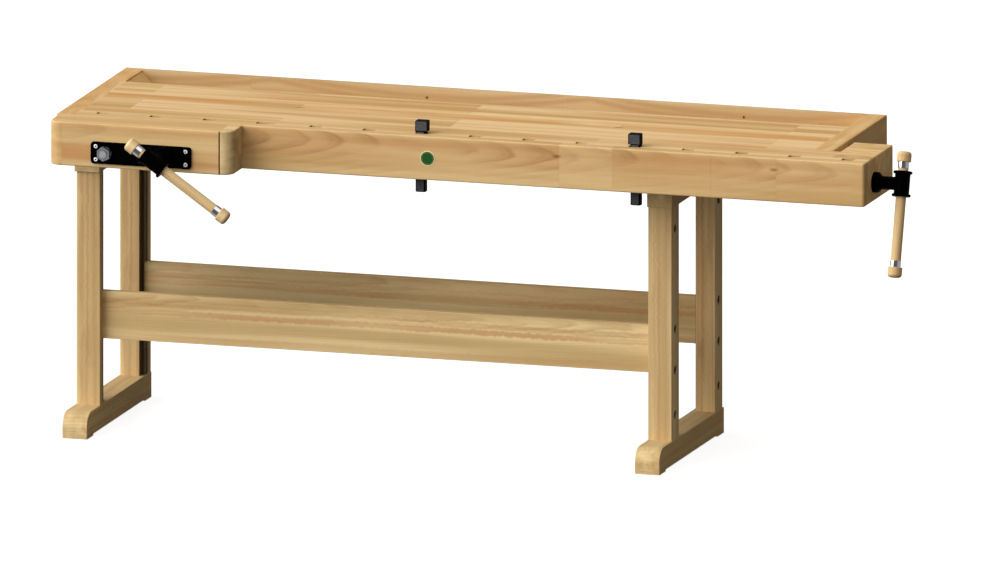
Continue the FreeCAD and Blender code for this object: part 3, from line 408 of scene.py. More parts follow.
class Board:
    """Where a point lies in its board, and the patterns there that its colour comes from."""

    def __init__(self, g, cut):
        self.along = g.dot(g.place, cut.along)
        self.across = g.dot(g.place, cut.across)
        through = g.minus(g.dot(g.place, cut.along.cross(cut.across)), cut.face)
        if cut.rows:
            row, piece, self.place, self.seam, self.since = listed_staves(
                g, cut, self.along, self.across)
        else:
            row, piece, self.place, self.seam = staves(g, cut, self.along, self.across)
        first, second, third = g.random(g.combine(row, piece, cut.seed + 0.5))
        self.own = g.add(self.along, g.times(first, OWN_STRETCH), cut.seed)
        side = g.add(self.place, g.times(g.minus(second, 0.5), cut.spread))
        tilt = g.add(cut.slope, g.times(g.minus(third, 0.5), cut.spread))
        point = (self.own, self.across, through)
        self.rings = growth_rings(g, cut, point, side, tilt)
        self.streak = grain_noise(g, point, STREAK_LENGTH, cut.fineness, STREAK_DETAIL)
        self.pale = grain_noise(g, point, *PALE)
        self.fibre = grain_noise(g, point, *FIBRE)
        self.fleck = grain_noise(g, point, *FLECK)
        shake = g.noise(g.combine(g.times(self.own, 70.0), g.times(self.across, 30.0), 0.0))
        drift = g.noise(g.combine(g.times(self.own, 2.5), 0.0, cut.seed), detail=1.0)
        self.wander = g.add(g.times(g.minus(shake, 0.5), cut.jagged),
                            g.times(g.minus(drift, 0.5), DRIFT))
        cloud = g.noise(g.combine(g.times(self.own, 2.0), g.times(self.across, 25.0), 5.0))
        self.fade = g.fit(cloud, 0.3, 0.6, 0.25, 1.0)
        self.tone = g.fit(third, 0.0, 1.0, cut.light - cut.tone, cut.light + cut.tone, smooth=False)
        for low, high in cut.plain:
            inside = g.times(g.above(self.along, low), g.math("LESS_THAN", self.along, high))
            quiet = g.minus(1.0, g.times(inside, QUIET))
            self.fade, self.rings = g.times(self.fade, quiet), g.times(self.rings, quiet)


def plain_wood(g, cut, board):
    """Paler and darker stretches with streaks."""
    light, middle = [linear(colour) for colour in cut.colours]
    pale = board.pale
    if cut.rows:
        fresh = g.fit(board.since, 0.08, 0.40, 0.10, 0.0)
        pale = g.add(g.times(pale, 0.8), by_row(g, cut, board.across, 1), fresh, -0.4)
    colour = g.mix(g.fit(pale, 0.34, 0.66), middle, light)
    amount = g.times(g.fit(board.streak, 0.50, 0.74), cut.streaks)
    colour = g.mix(amount, colour, linear(cut.brown))
    # Painted shade that fades in towards one end of the board.
    if cut.dim:
        start, end, lightness = cut.dim
        colour = g.shade(colour, g.fit(board.along, start, end, lightness, 1.0))
    return colour


def with_bands(g, cut, board, colour):
    """Bands of darker wood along the grain."""
    begun = g.above(board.along, cut.bands_start)
    for centre, half, strength in cut.bands:
        gap = g.size(g.minus(g.add(board.across, board.wander), centre))
        amount = g.times(g.fit(gap, half * 0.4, half, strength, 0.0), board.fade)
        colour = g.mix(g.times(amount, begun), colour, linear(cut.rosy))
    return colour


def with_heart(g, cut, board, colour):
    """Orange heart wood down the middle of the staves that have it."""
    gap = g.size(g.add(board.place, g.times(board.wander, 2.0)))
    heart = g.times(g.fit(gap, *HEART_EDGE, 1.0, 0.25), by_row(g, cut, board.across, 3))
    heart = g.times(heart, g.fit(board.since, 0.0, 0.45, 0.75, 1.0))
    heart = g.times(heart, g.fit(board.since, 0.68, 0.82, 1.0, 0.15))
    heart = g.times(heart, g.fit(board.fade, 0.25, 1.0, 0.55, 1.0))
    return g.mix(heart, colour, linear(WOOD_HEART))


def with_arcs(g, cut, board, colour):
    """Broad arcs that come back at every length of the board."""
    for length, centre, lowest, rise in cut.bowls:
        turn = g.math("FRACT", g.add(g.over(g.minus(board.along, centre), length), 0.5))
        off = g.times(g.minus(turn, 0.5), length)
        bowl = g.add(g.times(g.times(off, off), rise), lowest)
        arc = g.minus(g.add(board.across, g.times(board.wander, 2.0)), bowl)
        amount = g.fit(g.size(arc), *ARC_EDGE, ARC_STRENGTH, 0.0)
        colour = g.mix(amount, colour, linear(cut.brown))
    return colour


def with_knots(g, cut, board, colour):
    """Small knots, longer along the grain than across it."""
    for along, across in cut.knots:
        dx = g.times(g.minus(board.along, along), KNOT_SHAPE[0])
        dy = g.times(g.minus(board.across, across), KNOT_SHAPE[1])
        reach = g.add(g.radius(dx, dy), board.wander)
        colour = g.mix(g.fit(reach, *KNOT_EDGE, KNOT_STRENGTH, 0.0), colour, linear(KNOT_BROWN))
    return colour


def face_distances(g, box):
    """How far a point is from the sides of a box, along x, y and z."""
    gaps = []
    for axis, low, high in zip((X, Y, Z), *box):
        place = g.dot(g.place, axis)
        gaps.append(g.least(g.minus(place, low), g.minus(high, place)))
    return gaps


def edge_distance(g, box):
    """How far a point on a box-like piece is from its nearest edge."""
    a, b, c = face_distances(g, box)
    return g.most(g.least(a, b), g.least(g.most(a, b), c))


def inside_distance(g, box):
    """How deep a point of a hole lies inside a box-like piece."""
    a, b, c = face_distances(g, box)
    return g.least(g.least(a, b), c)


def wood(name, cut, box, worn_edges):
    """Hardwood with growth rings about a pith, streaks, fibres, glued boards and worn edges, with
    painted light and shade on some faces and inside holes.
    """
    g = Surface(name)
    board = Board(g, cut)
    colour = with_bands(g, cut, board, plain_wood(g, cut, board))
    if cut.rows:
        colour = with_heart(g, cut, board, colour)
    if cut.blotches:
        place = g.combine(g.times(board.own, 8.0), g.times(board.across, 24.0), 3.0)
        amount = g.fit(g.noise(place, detail=3.0), 0.46, 0.64, 0.0, cut.blotches)
        colour = g.mix(amount, colour, linear(WOOD_HEART))
    colour = with_arcs(g, cut, board, colour)
    colour = g.mix(g.times(board.rings, cut.figure), colour, linear(WOOD_LATE))
    colour = with_knots(g, cut, board, colour)
    colour = g.shade(colour, board.tone)
    colour = g.shade(colour, g.fit(board.fibre, 0.2, 0.8, 0.93, 1.06, smooth=False))
    colour = g.shade(colour, g.fit(board.fleck, 0.68, 0.80, 1.0, 0.88))
    # Painted light and shade by which way a face looks; end grain below 1 is the wood's own darker
    # colour.
    for axis, lightness in ((cut.along, cut.end_grain), (Y, cut.front_face_painted_light), (Z, cut.level_face_painted_shade)):
        if lightness != 1.0:
            colour = g.shade(colour, g.fit(g.facing(axis), *TURNED, 1.0, lightness))
    rough = g.fit(board.fibre, 0.2, 0.8, 0.76, 0.62, smooth=False)
    # Painted shade inside holes, and painted light where the lightness is above 1.
    if cut.wells != 1.0:
        colour = g.shade(colour, g.fit(inside_distance(g, box), *cut.rim, 1.0, cut.wells))
    if worn_edges:
        worn = g.add(edge_distance(g, box), g.times(g.minus(board.streak, 0.5), 0.004))
        colour = g.shade(colour, g.fit(worn, *WORN, 1.04, 1.0))
        rough = g.add(rough, g.fit(worn, *WORN, -0.08, 0.0))
    colour = g.shade(colour, board.seam)
    # The dark seam line is partly a dark joint and partly painted shade of the groove between the
    # parts.
    for place in cut.seams:
        gap = g.size(g.minus(board.along, place))
        amount = g.times(g.fit(gap, *SEAM_EDGE, SEAM_STRENGTH, 0.0), g.fit(g.facing(Y), 0.5, 0.6))
        colour = g.mix(amount, colour, linear(SEAM_BROWN))
    height = g.add(g.times(board.fibre, 0.5), g.times(board.rings, 0.3), g.times(board.seam, 1.5))
    return g.finish(colour, rough, height, WOOD_RELIEF, specular=WOOD_SPECULAR)


# ---------------------------------------------------------------- metals and paint
NUT_DARK = (92, 93, 94)
NUT_LIGHT = (126, 127, 128)
# Painted shade in the recess of a plate screw.
RECESS_PAINTED_SHADE = (14, 14, 15)
WASHER_THICK = 0.0025
PLATE_SCREW_RADIUS = 0.0055
RECESS = (0.0017, 0.0026)    # radius of a screw's recess, and where the painted shade in it ends
DOG_NECK = 0.0065            # shank seen above the worktop
DOG_LIP = 0.0057             # how far the head overhangs the shank
BADGE_RIM = 0.0186
BADGE_RING = 0.0158
BADGE_LINE = 0.0005


def blackened(name, low, high):
    """Iron painted or oxidised to a dull dark skin, worn a little lighter."""
    g = Surface(name)
    coarse = g.noise(g.place, 260.0, 4.0, 0.6)
    patches = g.noise(g.place, 45.0, 3.0)
    colour = g.mix(g.fit(patches, 0.55, 0.80), linear(low), linear(high))
    return g.finish(colour, g.vary(patches, 0.40, 0.56), coarse, 0.00022, specular=0.006)


def bright_steel(name, low, high, turned_about=None, rough=0.30):
    """Turned or drawn steel: fine lines, duller where oil and hands have been."""
    g = Surface(name)
    place = g.place
    if turned_about is not None:
        place = g.combine(g.times(g.dot(g.place, turned_about), 60.0), 0.0, 0.0)
    lines = g.noise(place, 25.0, 4.0, 0.7)
    stain = g.noise(g.place, 55.0, 3.0)
    colour = g.shade(g.between(lines, low, high), g.fit(stain, 0.35, 0.75, 1.0, 0.80))
    return g.finish(colour, g.vary(stain, rough, rough + 0.14), lines, 0.00008, metallic=1.0)


def dog_steel(node, lip):
    """Blackened steel, ground grey on its front and back but not at their edges."""
    g = Surface(node + "_steel")
    low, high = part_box(node)
    neck = top_face + DOG_NECK
    trim = Vector((DOG_LIP, 0, 0))
    head = ((low.x, low.y, neck), high)
    shank = (low + trim * (lip < 0), (high.x - DOG_LIP * (lip > 0), high.y, neck))
    height = g.dot(g.place, Z)
    above = g.above(height, neck)
    edge = g.add(g.times(edge_distance(g, head), above),
                 g.times(edge_distance(g, shank), g.minus(1.0, above)))
    place = g.combine(g.times(height, 700.0), g.times(g.dot(g.place, X), 40.0), 0.0)
    lines = g.noise(place, 1.0, 3.0)
    patches = g.noise(g.place, 70.0, 3.0)
    grey = g.between(lines, (70, 71, 73), (88, 89, 92))
    grey = g.shade(grey, g.fit(height, low.z, neck, 0.75, 1.0))
    ground = g.times(g.fit(g.facing(Y), 0.80, 0.97), g.fit(edge, 0.0008, 0.0026))
    colour = g.mix(ground, linear((12, 12, 13)), grey)
    colour = g.shade(colour, g.fit(patches, 0.3, 0.7, 0.9, 1.1))
    rough = g.fit(patches, 0.3, 0.7, 0.50, 0.62)
    return g.finish(colour, rough, lines, 0.00006, specular=0.01)


def guide_nut_steel():
    """The grey of a machined nut, on a washer that has gone black."""
    g = Surface("guide_nut_steel")
    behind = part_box("front_guide_nut")[1].y - WASHER_THICK
    place = g.combine(g.times(g.dot(g.place, X), 9.0), 0.0, g.times(g.dot(g.place, Z), 9.0))
    lines = g.noise(place, 30.0, 3.0)
    stain = g.noise(g.place, 90.0, 3.0)
    washer = g.above(g.dot(g.place, Y), behind)
    colour = g.mix(washer, g.between(lines, NUT_DARK, NUT_LIGHT), linear((16, 16, 17)))
    return g.finish(colour, g.vary(stain, 0.36, 0.50), lines, 0.00008, metallic=1.0)


def plate_screw_steel():
    """Bright zinc with painted shade in the recess of each screw."""
    g = Surface("plate_screw_steel")
    low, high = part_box("front_plate_screws")
    middle, half = (low + high) / 2, (high - low) / 2
    offsets = []
    for axis, centre, reach in ((X, middle.x, half.x), (Z, middle.z, half.z)):
        off = g.size(g.minus(g.dot(g.place, axis), centre))
        offsets.append(g.minus(off, reach - PLATE_SCREW_RADIUS))
    radius = g.radius(*offsets)
    stain = g.noise(g.place, 160.0, 3.0)
    colour = g.between(stain, (205, 206, 208), (236, 236, 238))
    # Painted shade in each screw's recess.
    colour = g.mix(g.fit(radius, *RECESS, 1.0, 0.0), colour, linear(RECESS_PAINTED_SHADE))
    return g.finish(colour, g.vary(stain, 0.28, 0.42), stain, 0.00008, metallic=1.0)


def ferrule_steel(name, axis, bright_side):
    """Polished steel with a painted reflection: the bands of light and dark that a narrow bright
    ring would show, fixed to the piece.
    """
    g = Surface(name)
    side = (bright_side - axis * bright_side.dot(axis)).normalized()
    lean = g.dot(g.normal, side)
    place = g.combine(g.times(g.dot(g.place, side), 5.0),
                      g.times(g.dot(g.place, axis.cross(side)), 5.0), 0.0)
    lines = g.noise(place, 25.0, 4.0, 0.7)
    # Painted reflection: a bright band towards the given side, dark elsewhere, a little lighter on
    # the far side.
    painted_reflection = g.times(g.fit(lean, 0.34, 0.50), g.fit(lean, 0.82, 0.94, 1.0, 0.2))
    painted_reflection = g.most(painted_reflection, g.fit(lean, -0.60, -0.10, 0.32, 0.06))
    colour = g.mix(painted_reflection, linear((52, 51, 56)), linear((250, 250, 252)))
    colour = g.shade(colour, g.fit(lines, 0.3, 0.7, 0.85, 1.0))
    return g.finish(colour, g.vary(lines, 0.30, 0.40), lines, 0.00006, metallic=1.0)


def badge_enamel():
    """A dark green disc with a pale rim and a fine ring, and nothing written on it."""
    g = Surface("badge_enamel")
    low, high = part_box("badge")
    middle = (low + high) / 2
    radius = g.radius(g.minus(g.dot(g.place, X), middle.x), g.minus(g.dot(g.place, Z), middle.z))
    rim = g.fit(radius, BADGE_RIM - BADGE_LINE / 2, BADGE_RIM + BADGE_LINE / 2)
    ring = g.fit(g.size(g.minus(radius, BADGE_RING)), 0.0, BADGE_LINE, 1.0, 0.0)
    grain = g.noise(g.place, 900.0, 2.0)
    green = g.between(grain, (8, 66, 12), (14, 80, 18))
    colour = g.mix(g.most(rim, g.times(ring, 0.5)), green, linear((240, 232, 172)))
    height = g.add(g.most(rim, ring), g.times(grain, 0.2))
    return g.finish(colour, g.fit(grain, 0.3, 0.7, 0.28, 0.38), height, 0.0002, specular=0.2)


# ---------------------------------------------------------------- which wood goes where
top_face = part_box("top_slab")[1].z
TOP_PERIOD = 0.897
TOP_ROWS = (              # staves of the top: start, paleness, a joint, heart wood
    (-9.000, 0.56, -1.022, 0.25),
    (-0.191, 0.535, -0.587, 0.00),
    (-0.091, 0.545, -0.125, 0.00),
    (0.034, 0.50, -0.587, 0.90),
    (0.096, 0.62, -0.125, 0.00),
    (0.134, 0.42, -0.125, 0.00),
    (0.224, 0.58, -0.587, 0.30),
)
TOP_KNOTS = ((-0.582, 0.052), (0.315, 0.052))
BEAM_JOINTS = (0.2258, 0.3752, 0.8376)
BEAM_KNOT_HEIGHT = 0.868
KNOT_TO_JOINT = 0.005
JAW_JOINT = -1.1456
BACK_JOINTS = (-0.831, 0.062)
HANDLE_RADIUS = 0.014
FRAME = dict(colours=(FRAME_LIGHT, FRAME_MIDDLE))
FRAME_STREAKED = dict(FRAME, brown=FRAME_STREAK, rosy=FRAME_ROSY)


def front_of(node):
    """Where a node's front face lies for grain along the bench."""
    return -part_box(node)[0].y


def lengthways(node, **changes):
    """Grain from left to right, with the figure seen from the front."""
    return Cut(X, Z, front_of(node), **changes)


def across_bench(node, **changes):
    """Grain from front to back, with the figure seen from above."""
    low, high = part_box(node)
    return Cut(Y, X, -high.z, pith=(low.x + high.x) / 2, **changes)


def upright(node, **changes):
    """A leg: straight grain with a jagged brown streak down its middle."""
    low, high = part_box(node)
    middle = (low.x + high.x) / 2
    bands = ((middle - 0.003, 0.0055, 0.55),
             (middle - 0.015, 0.006, 0.35),
             (middle + 0.017, 0.006, 0.35))
    # Painted shade inside the legs' bolt counterbores.
    return Cut(Z, X, high.y, pith=middle, depth=0.09, rings=150.0, slope=0.008, figure=0.3,
               fineness=85.0, bands=bands, jagged=0.010, wells=0.18, **FRAME_STREAKED, **changes)


def wood_pieces():
    """Every wooden node with its cut."""
    beam = dict(
        pith=0.872, depth=0.045, rings=68.0, slope=0.13, figure=0.55, tone=0.008, streaks=0.35,
        # The level faces get painted shade.
        level_face_painted_shade=0.92, joints=BEAM_JOINTS, plain=(BEAM_JOINTS[:2], (BEAM_JOINTS[2], 2.0)),
        bands=((0.856, 0.040, 0.5), (0.882, 0.014, 0.35)),
        knots=((BEAM_JOINTS[0] - KNOT_TO_JOINT, BEAM_KNOT_HEIGHT),
               (BEAM_JOINTS[2] - KNOT_TO_JOINT, BEAM_KNOT_HEIGHT)))
    jaw = dict(
        # The jaw's level faces get painted shade.
        pith=0.885, depth=0.07, rings=120.0, slope=0.04, figure=0.25, tone=0.012, level_face_painted_shade=0.95,
        joints=(JAW_JOINT,), plain=((-2.0, JAW_JOINT),), bands_start=JAW_JOINT)
    top = dict(
        rows=TOP_ROWS, length=TOP_PERIOD, spread=0.03, tone=0.012, depth=0.09, slope=0.02,
        figure=0.14, bands=((-0.086, 0.013, 1.0),), bands_start=0.40, knots=TOP_KNOTS,
        colours=(TOP_LIGHT, TOP_MIDDLE))
    tie = dict(
        pith=0.372, depth=0.07, rings=190.0, slope=0.03, figure=0.34, streaks=0.5, jagged=0.012,
        bands=((0.331, 0.010, 0.65), (0.352, 0.006, 0.4), (0.262, 0.012, 0.25)), tone=0.0,
        light=1.05, fineness=60.0, **FRAME_STREAKED)
    seams = (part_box("front_jaw")[1].x,)
    cuts = {
        "front_board": lengthways("front_board", **beam),
        "tail_front_board": lengthways("tail_front_board", **beam),
        "front_jaw": lengthways("front_jaw", seams=seams, seed=2.0,
                                bands=((0.818, 0.032, 0.9), (0.888, 0.006, 0.4)), **jaw),
        "front_jaw_end_block": lengthways("front_jaw", seams=seams, seed=3.0, **FRAME, **jaw),
        # The block's end faces, the right one seen, get painted light.
        "tail_end_block": Cut(X, Y, top_face, width=0.0585, shift=0.01, seed=4.0, end_grain=1.1,
                              bands=((-0.010, 0.009, 0.7),)),
        # Painted light inside the back board's holes.
        "back_board": lengthways(
            "back_board", joints=BACK_JOINTS, pith=0.93, depth=0.05, seed=5.0, rings=50.0,
            slope=0.03, figure=0.1, tone=0.015, streaks=0.2, brown=BACK_STREAK, wells=1.8,
            bowls=((0.893, -0.321, 0.876, 0.2), (0.893, -0.321, 0.858, 0.2)),
            colours=(BACK_LIGHT, BACK_MIDDLE)),
        "well_bottom": Cut(X, Y, top_face, width=0.09, seed=6.0),
        "front_stretcher": lengthways("front_stretcher", seed=7.0, **tie),
        # Painted shade towards the left end of the rear stretcher.
        "rear_stretcher": lengthways("rear_stretcher", seed=8.0, dim=(-0.75, -0.15, 0.72), **tie),
        # The ramps face away from the key light; their extra lightness is painted light.
        "well_ramps": across_bench("well_ramps", seed=9.0, light=1.35, blotches=0.8),
    }
    for node in ("top_slab", "beam_core", "dog_hole_blocks", "tail_dog_hole_blocks",
                 "tail_cover_board", "tail_jaw_block", "tail_core_block"):
        cuts[node] = Cut(X, Y, top_face, seed=10.0, **top)
    # Painted light on the front faces of the cores, seen down the dog holes.
    for node in ("beam_core", "tail_core_block"):
        cuts[node].front_face_painted_light = 1.2
    # Painted shade inside the dog holes.
    for node in ("dog_hole_blocks", "tail_dog_hole_blocks"):
        cuts[node].end_grain, cuts[node].wells, cuts[node].rim = 1.0, 0.10, (0.0006, 0.0022)
    # Painted shade inside the end caps' bolt wells.
    for node, seed, blotches in (("left_end_cap", 20.0, 1.0), ("right_end_cap", 21.0, 0.4)):
        cuts[node] = across_bench(node, seed=seed, slope=0.045, depth=0.05, figure=0.25,
                                  rings=110.0, blotches=blotches, wells=0.3)
    level = ("left_foot", "right_foot", "left_top_rail", "right_top_rail", "right_bearer",
             "front_guide_bracket", "tail_guide_bracket")
    for seed, node in enumerate(level, start=30):
        cuts[node] = across_bench(node, seed=seed, slope=0.02, figure=0.2, end_grain=1.0, **FRAME)
    # Painted light on the feet's front and back ends, painted shade on their tops.
    for node in ("left_foot", "right_foot"):
        cuts[node].end_grain, cuts[node].light, cuts[node].level_face_painted_shade = 1.1, 0.93, 0.93
        cuts[node].depth, cuts[node].rings, cuts[node].figure = 0.19, 110.0, 0.22
    legs = ("left_front_leg", "left_rear_leg", "right_front_leg", "right_rear_leg")
    for seed, node in enumerate(legs, start=40):
        cuts[node] = upright(node, seed=seed)
    return cuts


def handle_wood(node, axis, seed):
    """Turned hardwood with its grain along the handle."""
    across = axis.cross(Y if abs(axis.y) < 0.5 else X).normalized()
    low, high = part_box(node)
    middle = (low + high) / 2
    face = middle.dot(axis.cross(across)) + HANDLE_RADIUS
    cut = Cut(axis, across, face, pith=middle.dot(across), depth=0.03, rings=260.0, slope=0.01,
              figure=0.22, seed=seed, streaks=0.35, colours=(HANDLE_LIGHT, HANDLE_MIDDLE))
    return wood("wood_" + node, cut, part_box(node), False)


def paint(material, *nodes):
    """Give nodes one material."""
    for node in nodes:
        mesh = frame["nodes"][node].data
        mesh.materials.clear()
        mesh.materials.append(material)


BOARDS = ("front_board", "tail_front_board", "front_jaw", "front_jaw_end_block", "back_board",
          "left_end_cap", "right_end_cap", "tail_end_block", "left_foot", "right_foot",
          "front_stretcher", "rear_stretcher", "left_front_leg", "left_rear_leg",
          "right_front_leg", "right_rear_leg", "left_top_rail", "right_top_rail")
beam_box = (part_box("front_board")[0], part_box("tail_front_board")[1])
for node, cut in wood_pieces().items():
    box = beam_box if node in ("front_board", "tail_front_board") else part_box(node)
    paint(wood("wood_" + node, cut, box, node in BOARDS), node)

joint_axes = {joint["name"]: Vector(joint["axis"]) for joint in frame["joints"]}
TAIL_BRIGHT_SIDE = Vector((-0.956, -0.292, 0))    # where the tail ferrule's painted reflection is brightest: towards the key light, about
# Each ferrule's painted reflection is brightest towards the side given here.
for vise, seed, bright_side in (("front", 50.0, Z), ("tail", 60.0, TAIL_BRIGHT_SIDE)):
    axis = joint_axes[vise + "_handle_slide"]
    for step, node in enumerate((vise + "_handle", vise + "_handle_knobs")):
        paint(handle_wood(node, axis, seed + step), node)
    paint(ferrule_steel(vise + "_ferrule_steel", axis, bright_side), vise + "_handle_ferrules")
    turned = bright_steel(vise + "_turned_steel", (120, 121, 123), (168, 169, 171),
                          joint_axes[vise + "_vise_turn"])
    paint(turned, vise + "_vise_screw", vise + "_guide_bar")
paint(blackened("black_iron", (1, 1, 1), (5, 5, 5)),
      "front_vise_plate", "front_screw_collar", "front_vise_hub", "tail_screw_collar",
      "tail_vise_hub")
# The bolts are coloured near-black brown as painted shade, as if they sat deep in their
# counterbores.
paint(blackened("bolt_steel_painted_shade", (26, 19, 13), (44, 33, 23)), "end_cap_bolts", "stretcher_bolts")
paint(bright_steel("nut_steel", NUT_DARK, NUT_LIGHT, rough=0.36),
      "front_vise_nut", "tail_vise_nut")
paint(bright_steel("zinc_steel", (168, 168, 170), (206, 206, 208), rough=0.28),
      "end_cap_nuts", "rail_bolts", "stretcher_nuts", "bracket_screws")
paint(bright_steel("spring_steel", (60, 62, 68), (88, 90, 96), rough=0.34),
      "left_dog_spring", "right_dog_spring")
paint(guide_nut_steel(), "front_guide_nut")
paint(plate_screw_steel(), "front_plate_screws")
paint(dog_steel("left_bench_dog", 1), "left_bench_dog")
paint(dog_steel("right_bench_dog", -1), "right_bench_dog")
paint(badge_enamel(), "badge")


# ---------------------------------------------------------------- threads of the vise screws
THREAD_PITCH = 0.006
THREAD_ROOT = 0.0094
THREAD_PROFILE = ((0.00, 1.0), (0.34, 1.0), (0.50, 0.0), (0.84, 0.0))   # place in a turn, height
THREAD_START = 0.005     # behind the ring, where the shaft narrows to the root
THREAD_END = 0.006       # short of the tip
TAPER = 0.004            # from the ring to the root's radius
COLLAR_CORE = 0.008      # how far the front part's core goes into the thread
TIP_CORE = 0.012         # and the tip's
CHAMFER = 0.001
SIDES = 40
WELD = 0.00001


def lathe(mesh, start, axis, profile):
    """Turn a closed profile of (place along the axis, radius) points into a solid."""
    u = axis.orthogonal().normalized()
    v = axis.cross(u)
    rings = []
    for place, radius in profile:
        middle = start + axis * place
        ring = []
        for side in range(SIDES):
            angle = math.tau * side / SIDES
            spoke = u * math.cos(angle) + v * math.sin(angle)
            ring.append(mesh.verts.new(middle + spoke * radius))
        rings.append(ring)
    for low, high in zip(rings, rings[1:]):
        for side in range(SIDES):
            after = (side + 1) % SIDES
            mesh.faces.new((low[side], low[after], high[after], high[side]))
    mesh.faces.new(reversed(rings[0]))
    mesh.faces.new(rings[-1])


def thread(mesh, start, axis, length, crest):
    """A right-hand thread along axis, run out at both ends."""
    u = axis.orthogonal().normalized()
    v = axis.cross(u)
    columns = len(THREAD_PROFILE)
    steps = (math.ceil(length / THREAD_PITCH) + 2) * SIDES
    grid = []
    for step in range(steps + 1):
        angle = math.tau * step / SIDES
        spoke = u * math.cos(angle) + v * math.sin(angle)
        row = []
        for share, height in THREAD_PROFILE:
            place = THREAD_PITCH * (step / SIDES + share - 1)
            place = min(max(place, 0.0), length)
            run_out = min(place, length - place) / THREAD_PITCH
            radius = THREAD_ROOT + (crest - THREAD_ROOT) * height * min(run_out, 1.0)
            row.append(mesh.verts.new(start + axis * place + spoke * radius))
        grid.append(row)
    for step in range(steps):
        for column in range(columns):
            low, high = grid[step], grid[step + 1]
            if column + 1 < columns:
                mesh.faces.new((low[column], high[column], high[column + 1], low[column + 1]))
            elif step + 1 + SIDES <= steps:
                ahead, beyond = grid[step + SIDES], grid[step + 1 + SIDES]
                mesh.faces.new((low[column], high[column], beyond[0], ahead[0]))


def threaded_screw(vise, body):
    """The vise screw with its thread, in the place of the plain one."""
    node = vise + "_vise_screw"
    axis = -joint_axes[vise + "_vise_turn"]
    solid = frame["nodes"][node]
    points = [solid.matrix_world @ vertex.co for vertex in solid.data.vertices]
    low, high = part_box(node)
    middle = (low + high) / 2
    centre = middle - axis * middle.dot(axis)
    spread = []
    for point in points:
        place = point.dot(axis)
        spread.append((place, (point - centre - axis * place).length))
    first, last = min(place for place, _ in spread), max(place for place, _ in spread)
    shaft = max(radius for place, radius in spread if place > last - CHAMFER)
    ring = max(radius for _, radius in spread)
    flange = [place for place, radius in spread if radius > ring - CHAMFER / 2]
    near, far = min(flange), max(flange)
    build = bmesh.new()
    lathe(build, centre, axis, (
        (first, shaft - CHAMFER), (first + CHAMFER, shaft), (near, shaft),
        (near, ring - CHAMFER / 2), (near + CHAMFER / 2, ring),
        (far - CHAMFER / 2, ring), (far, ring - CHAMFER / 2),
        (far, shaft), (far + TAPER, THREAD_ROOT), (far + COLLAR_CORE, THREAD_ROOT),
    ))
    thread_start = far + THREAD_START
    length = last - THREAD_END - thread_start
    thread(build, centre + axis * thread_start, axis, length, shaft)
    lathe(build, centre, axis, (
        (last - TIP_CORE, THREAD_ROOT), (last - CHAMFER, THREAD_ROOT),
        (last, THREAD_ROOT - CHAMFER),
    ))
    bmesh.ops.remove_doubles(build, verts=build.verts, dist=WELD)
    bmesh.ops.dissolve_degenerate(build, edges=build.edges, dist=WELD)
    bmesh.ops.recalc_face_normals(build, faces=build.faces)
    mesh = bpy.data.meshes.new(node + "_threaded")
    build.to_mesh(mesh)
    build.free()
    piece = bpy.data.objects.new(node + "_threaded", mesh)
    bpy.context.scene.collection.objects.link(piece)
    mesh.materials.append(solid.data.materials[0])
    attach(piece, body)
    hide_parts(node)


threaded_screw("front", "front_vise_spindle")
threaded_screw("tail", "tail_vise_spindle")


# ---------------------------------------------------------------- floor, light and camera
def direction(azimuth, elevation):
    """From the object towards the given place; azimuth 0 is in front, 90 at the right."""
    a, e = math.radians(azimuth), math.radians(elevation)
    return Vector((math.sin(a) * math.cos(e), -math.cos(a) * math.cos(e), math.sin(e)))


def seen_directly(g):
    """1 where the camera, or a mirror or glass, sees the surface itself."""
    rays = g.node("ShaderNodeLightPath").outputs
    return g.most(g.most(rays["Is Camera Ray"], rays["Is Glossy Ray"]), rays["Is Transmission Ray"])


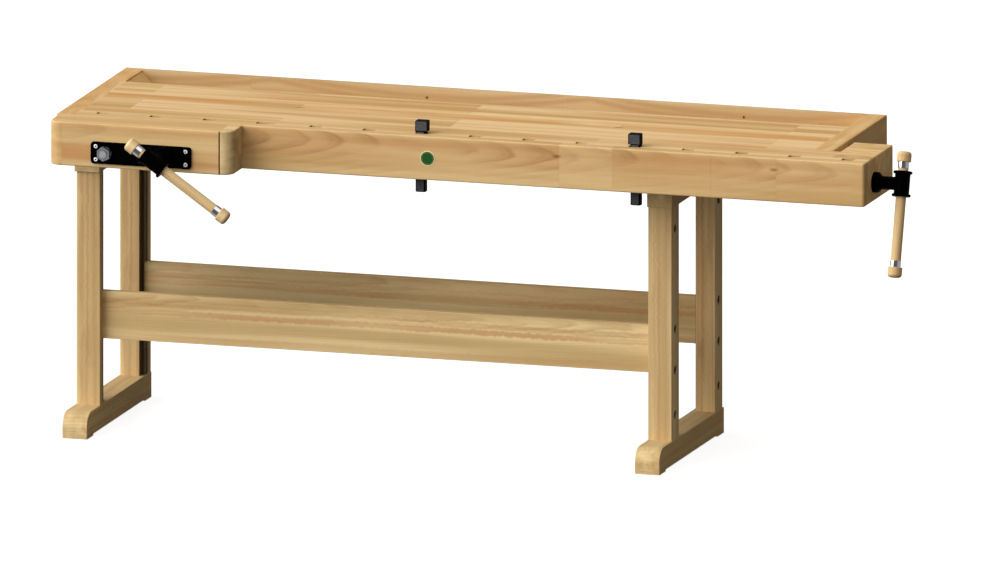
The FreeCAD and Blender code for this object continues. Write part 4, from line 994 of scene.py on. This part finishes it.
def make_floor():
    """A plain pale floor: white to the eye, softer in what it sends back to the bench."""
    mesh = bpy.data.meshes.new("floor")
    half = FLOOR_SIZE / 2
    corners = [(-half, -half, 0), (half, -half, 0), (half, half, 0), (-half, half, 0)]
    mesh.from_pydata(corners, [], [(0, 1, 2, 3)])
    floor = bpy.data.objects.new("floor", mesh)
    bpy.context.scene.collection.objects.link(floor)
    g = Surface("floor")
    grain = g.noise(g.place, 30.0, 2.0)
    tone = g.fit(grain, 0.3, 0.7, FLOOR_TONE - FLOOR_RIPPLE, FLOOR_TONE + FLOOR_RIPPLE)
    g.finish(g.combine(tone, tone, tone), 0.9, grain, 0.0001, specular=0.0)
    bright = g.node("ShaderNodeBsdfDiffuse")
    bright.inputs["Color"].default_value = (FLOOR_WHITE, FLOOR_WHITE, FLOOR_WHITE, 1.0)
    glow = g.node("ShaderNodeEmission")
    glow.inputs["Strength"].default_value = FLOOR_GLOW
    both = g.node("ShaderNodeMixShader")
    both.inputs[0].default_value = FLOOR_GLOW_SHARE
    g.feed(both.inputs[1], bright.outputs[0])
    g.feed(both.inputs[2], glow.outputs[0])
    choose = g.node("ShaderNodeMixShader")
    g.feed(choose.inputs[0], seen_directly(g))
    g.feed(choose.inputs[1], g.shader.outputs[0])
    g.feed(choose.inputs[2], both.outputs[0])
    g.feed(g.tree.nodes["Material Output"].inputs["Surface"], choose.outputs[0])
    mesh.materials.append(g.material)


def make_world():
    """A pale sky, brighter at the left and the front, and white where it is seen directly."""
    world = bpy.data.worlds.new("studio")
    bpy.context.scene.world = world
    world.use_nodes = True
    g = Graph(world.node_tree)
    around = g.node("ShaderNodeTexCoord").outputs["Generated"]
    lean = g.dot(around, direction(SKY_AZIMUTH, SKY_ELEVATION))
    glow = g.fit(lean, SKY_EDGE, 1.0, SKY_LOW, SKY_HIGH)
    direct = seen_directly(g)
    strength = g.node("ShaderNodeMix")
    g.feed(strength.inputs["Factor"], direct)
    g.feed(strength.inputs["A"], glow)
    g.feed(strength.inputs["B"], 1.0)
    background = g.tree.nodes["Background"]
    g.feed(background.inputs["Color"], g.mix(g.most(glow, direct), SKY_SHADE, WHITE))
    g.feed(background.inputs["Strength"], strength.outputs["Result"])


def make_key():
    """One broad soft light from the left, the front and above."""
    lamp = bpy.data.lights.new("key", "SUN")
    lamp.energy = KEY_STRENGTH
    lamp.angle = math.radians(KEY_SOFTNESS)
    key = bpy.data.objects.new("key", lamp)
    key.rotation_mode = "QUATERNION"
    key.rotation_quaternion = direction(KEY_AZIMUTH, KEY_ELEVATION).to_track_quat("Z", "Y")
    bpy.context.scene.collection.objects.link(key)


def make_camera():
    """A parallel view from the front and a little from the right."""
    lens = bpy.data.cameras.new("camera")
    lens.type = "ORTHO"
    lens.ortho_scale = VIEW_WIDTH
    lens.clip_end = CAMERA_REACH
    camera = bpy.data.objects.new("camera", lens)
    back = direction(CAMERA_AZIMUTH, CAMERA_ELEVATION)
    camera.location = VIEW_CENTRE + back * CAMERA_DISTANCE
    camera.rotation_mode = "QUATERNION"
    camera.rotation_quaternion = back.to_track_quat("Z", "Y")
    bpy.context.scene.collection.objects.link(camera)
    bpy.context.scene.camera = camera


make_floor()
make_world()
make_key()
make_camera()
bpy.context.scene.view_settings.view_transform = "Standard"
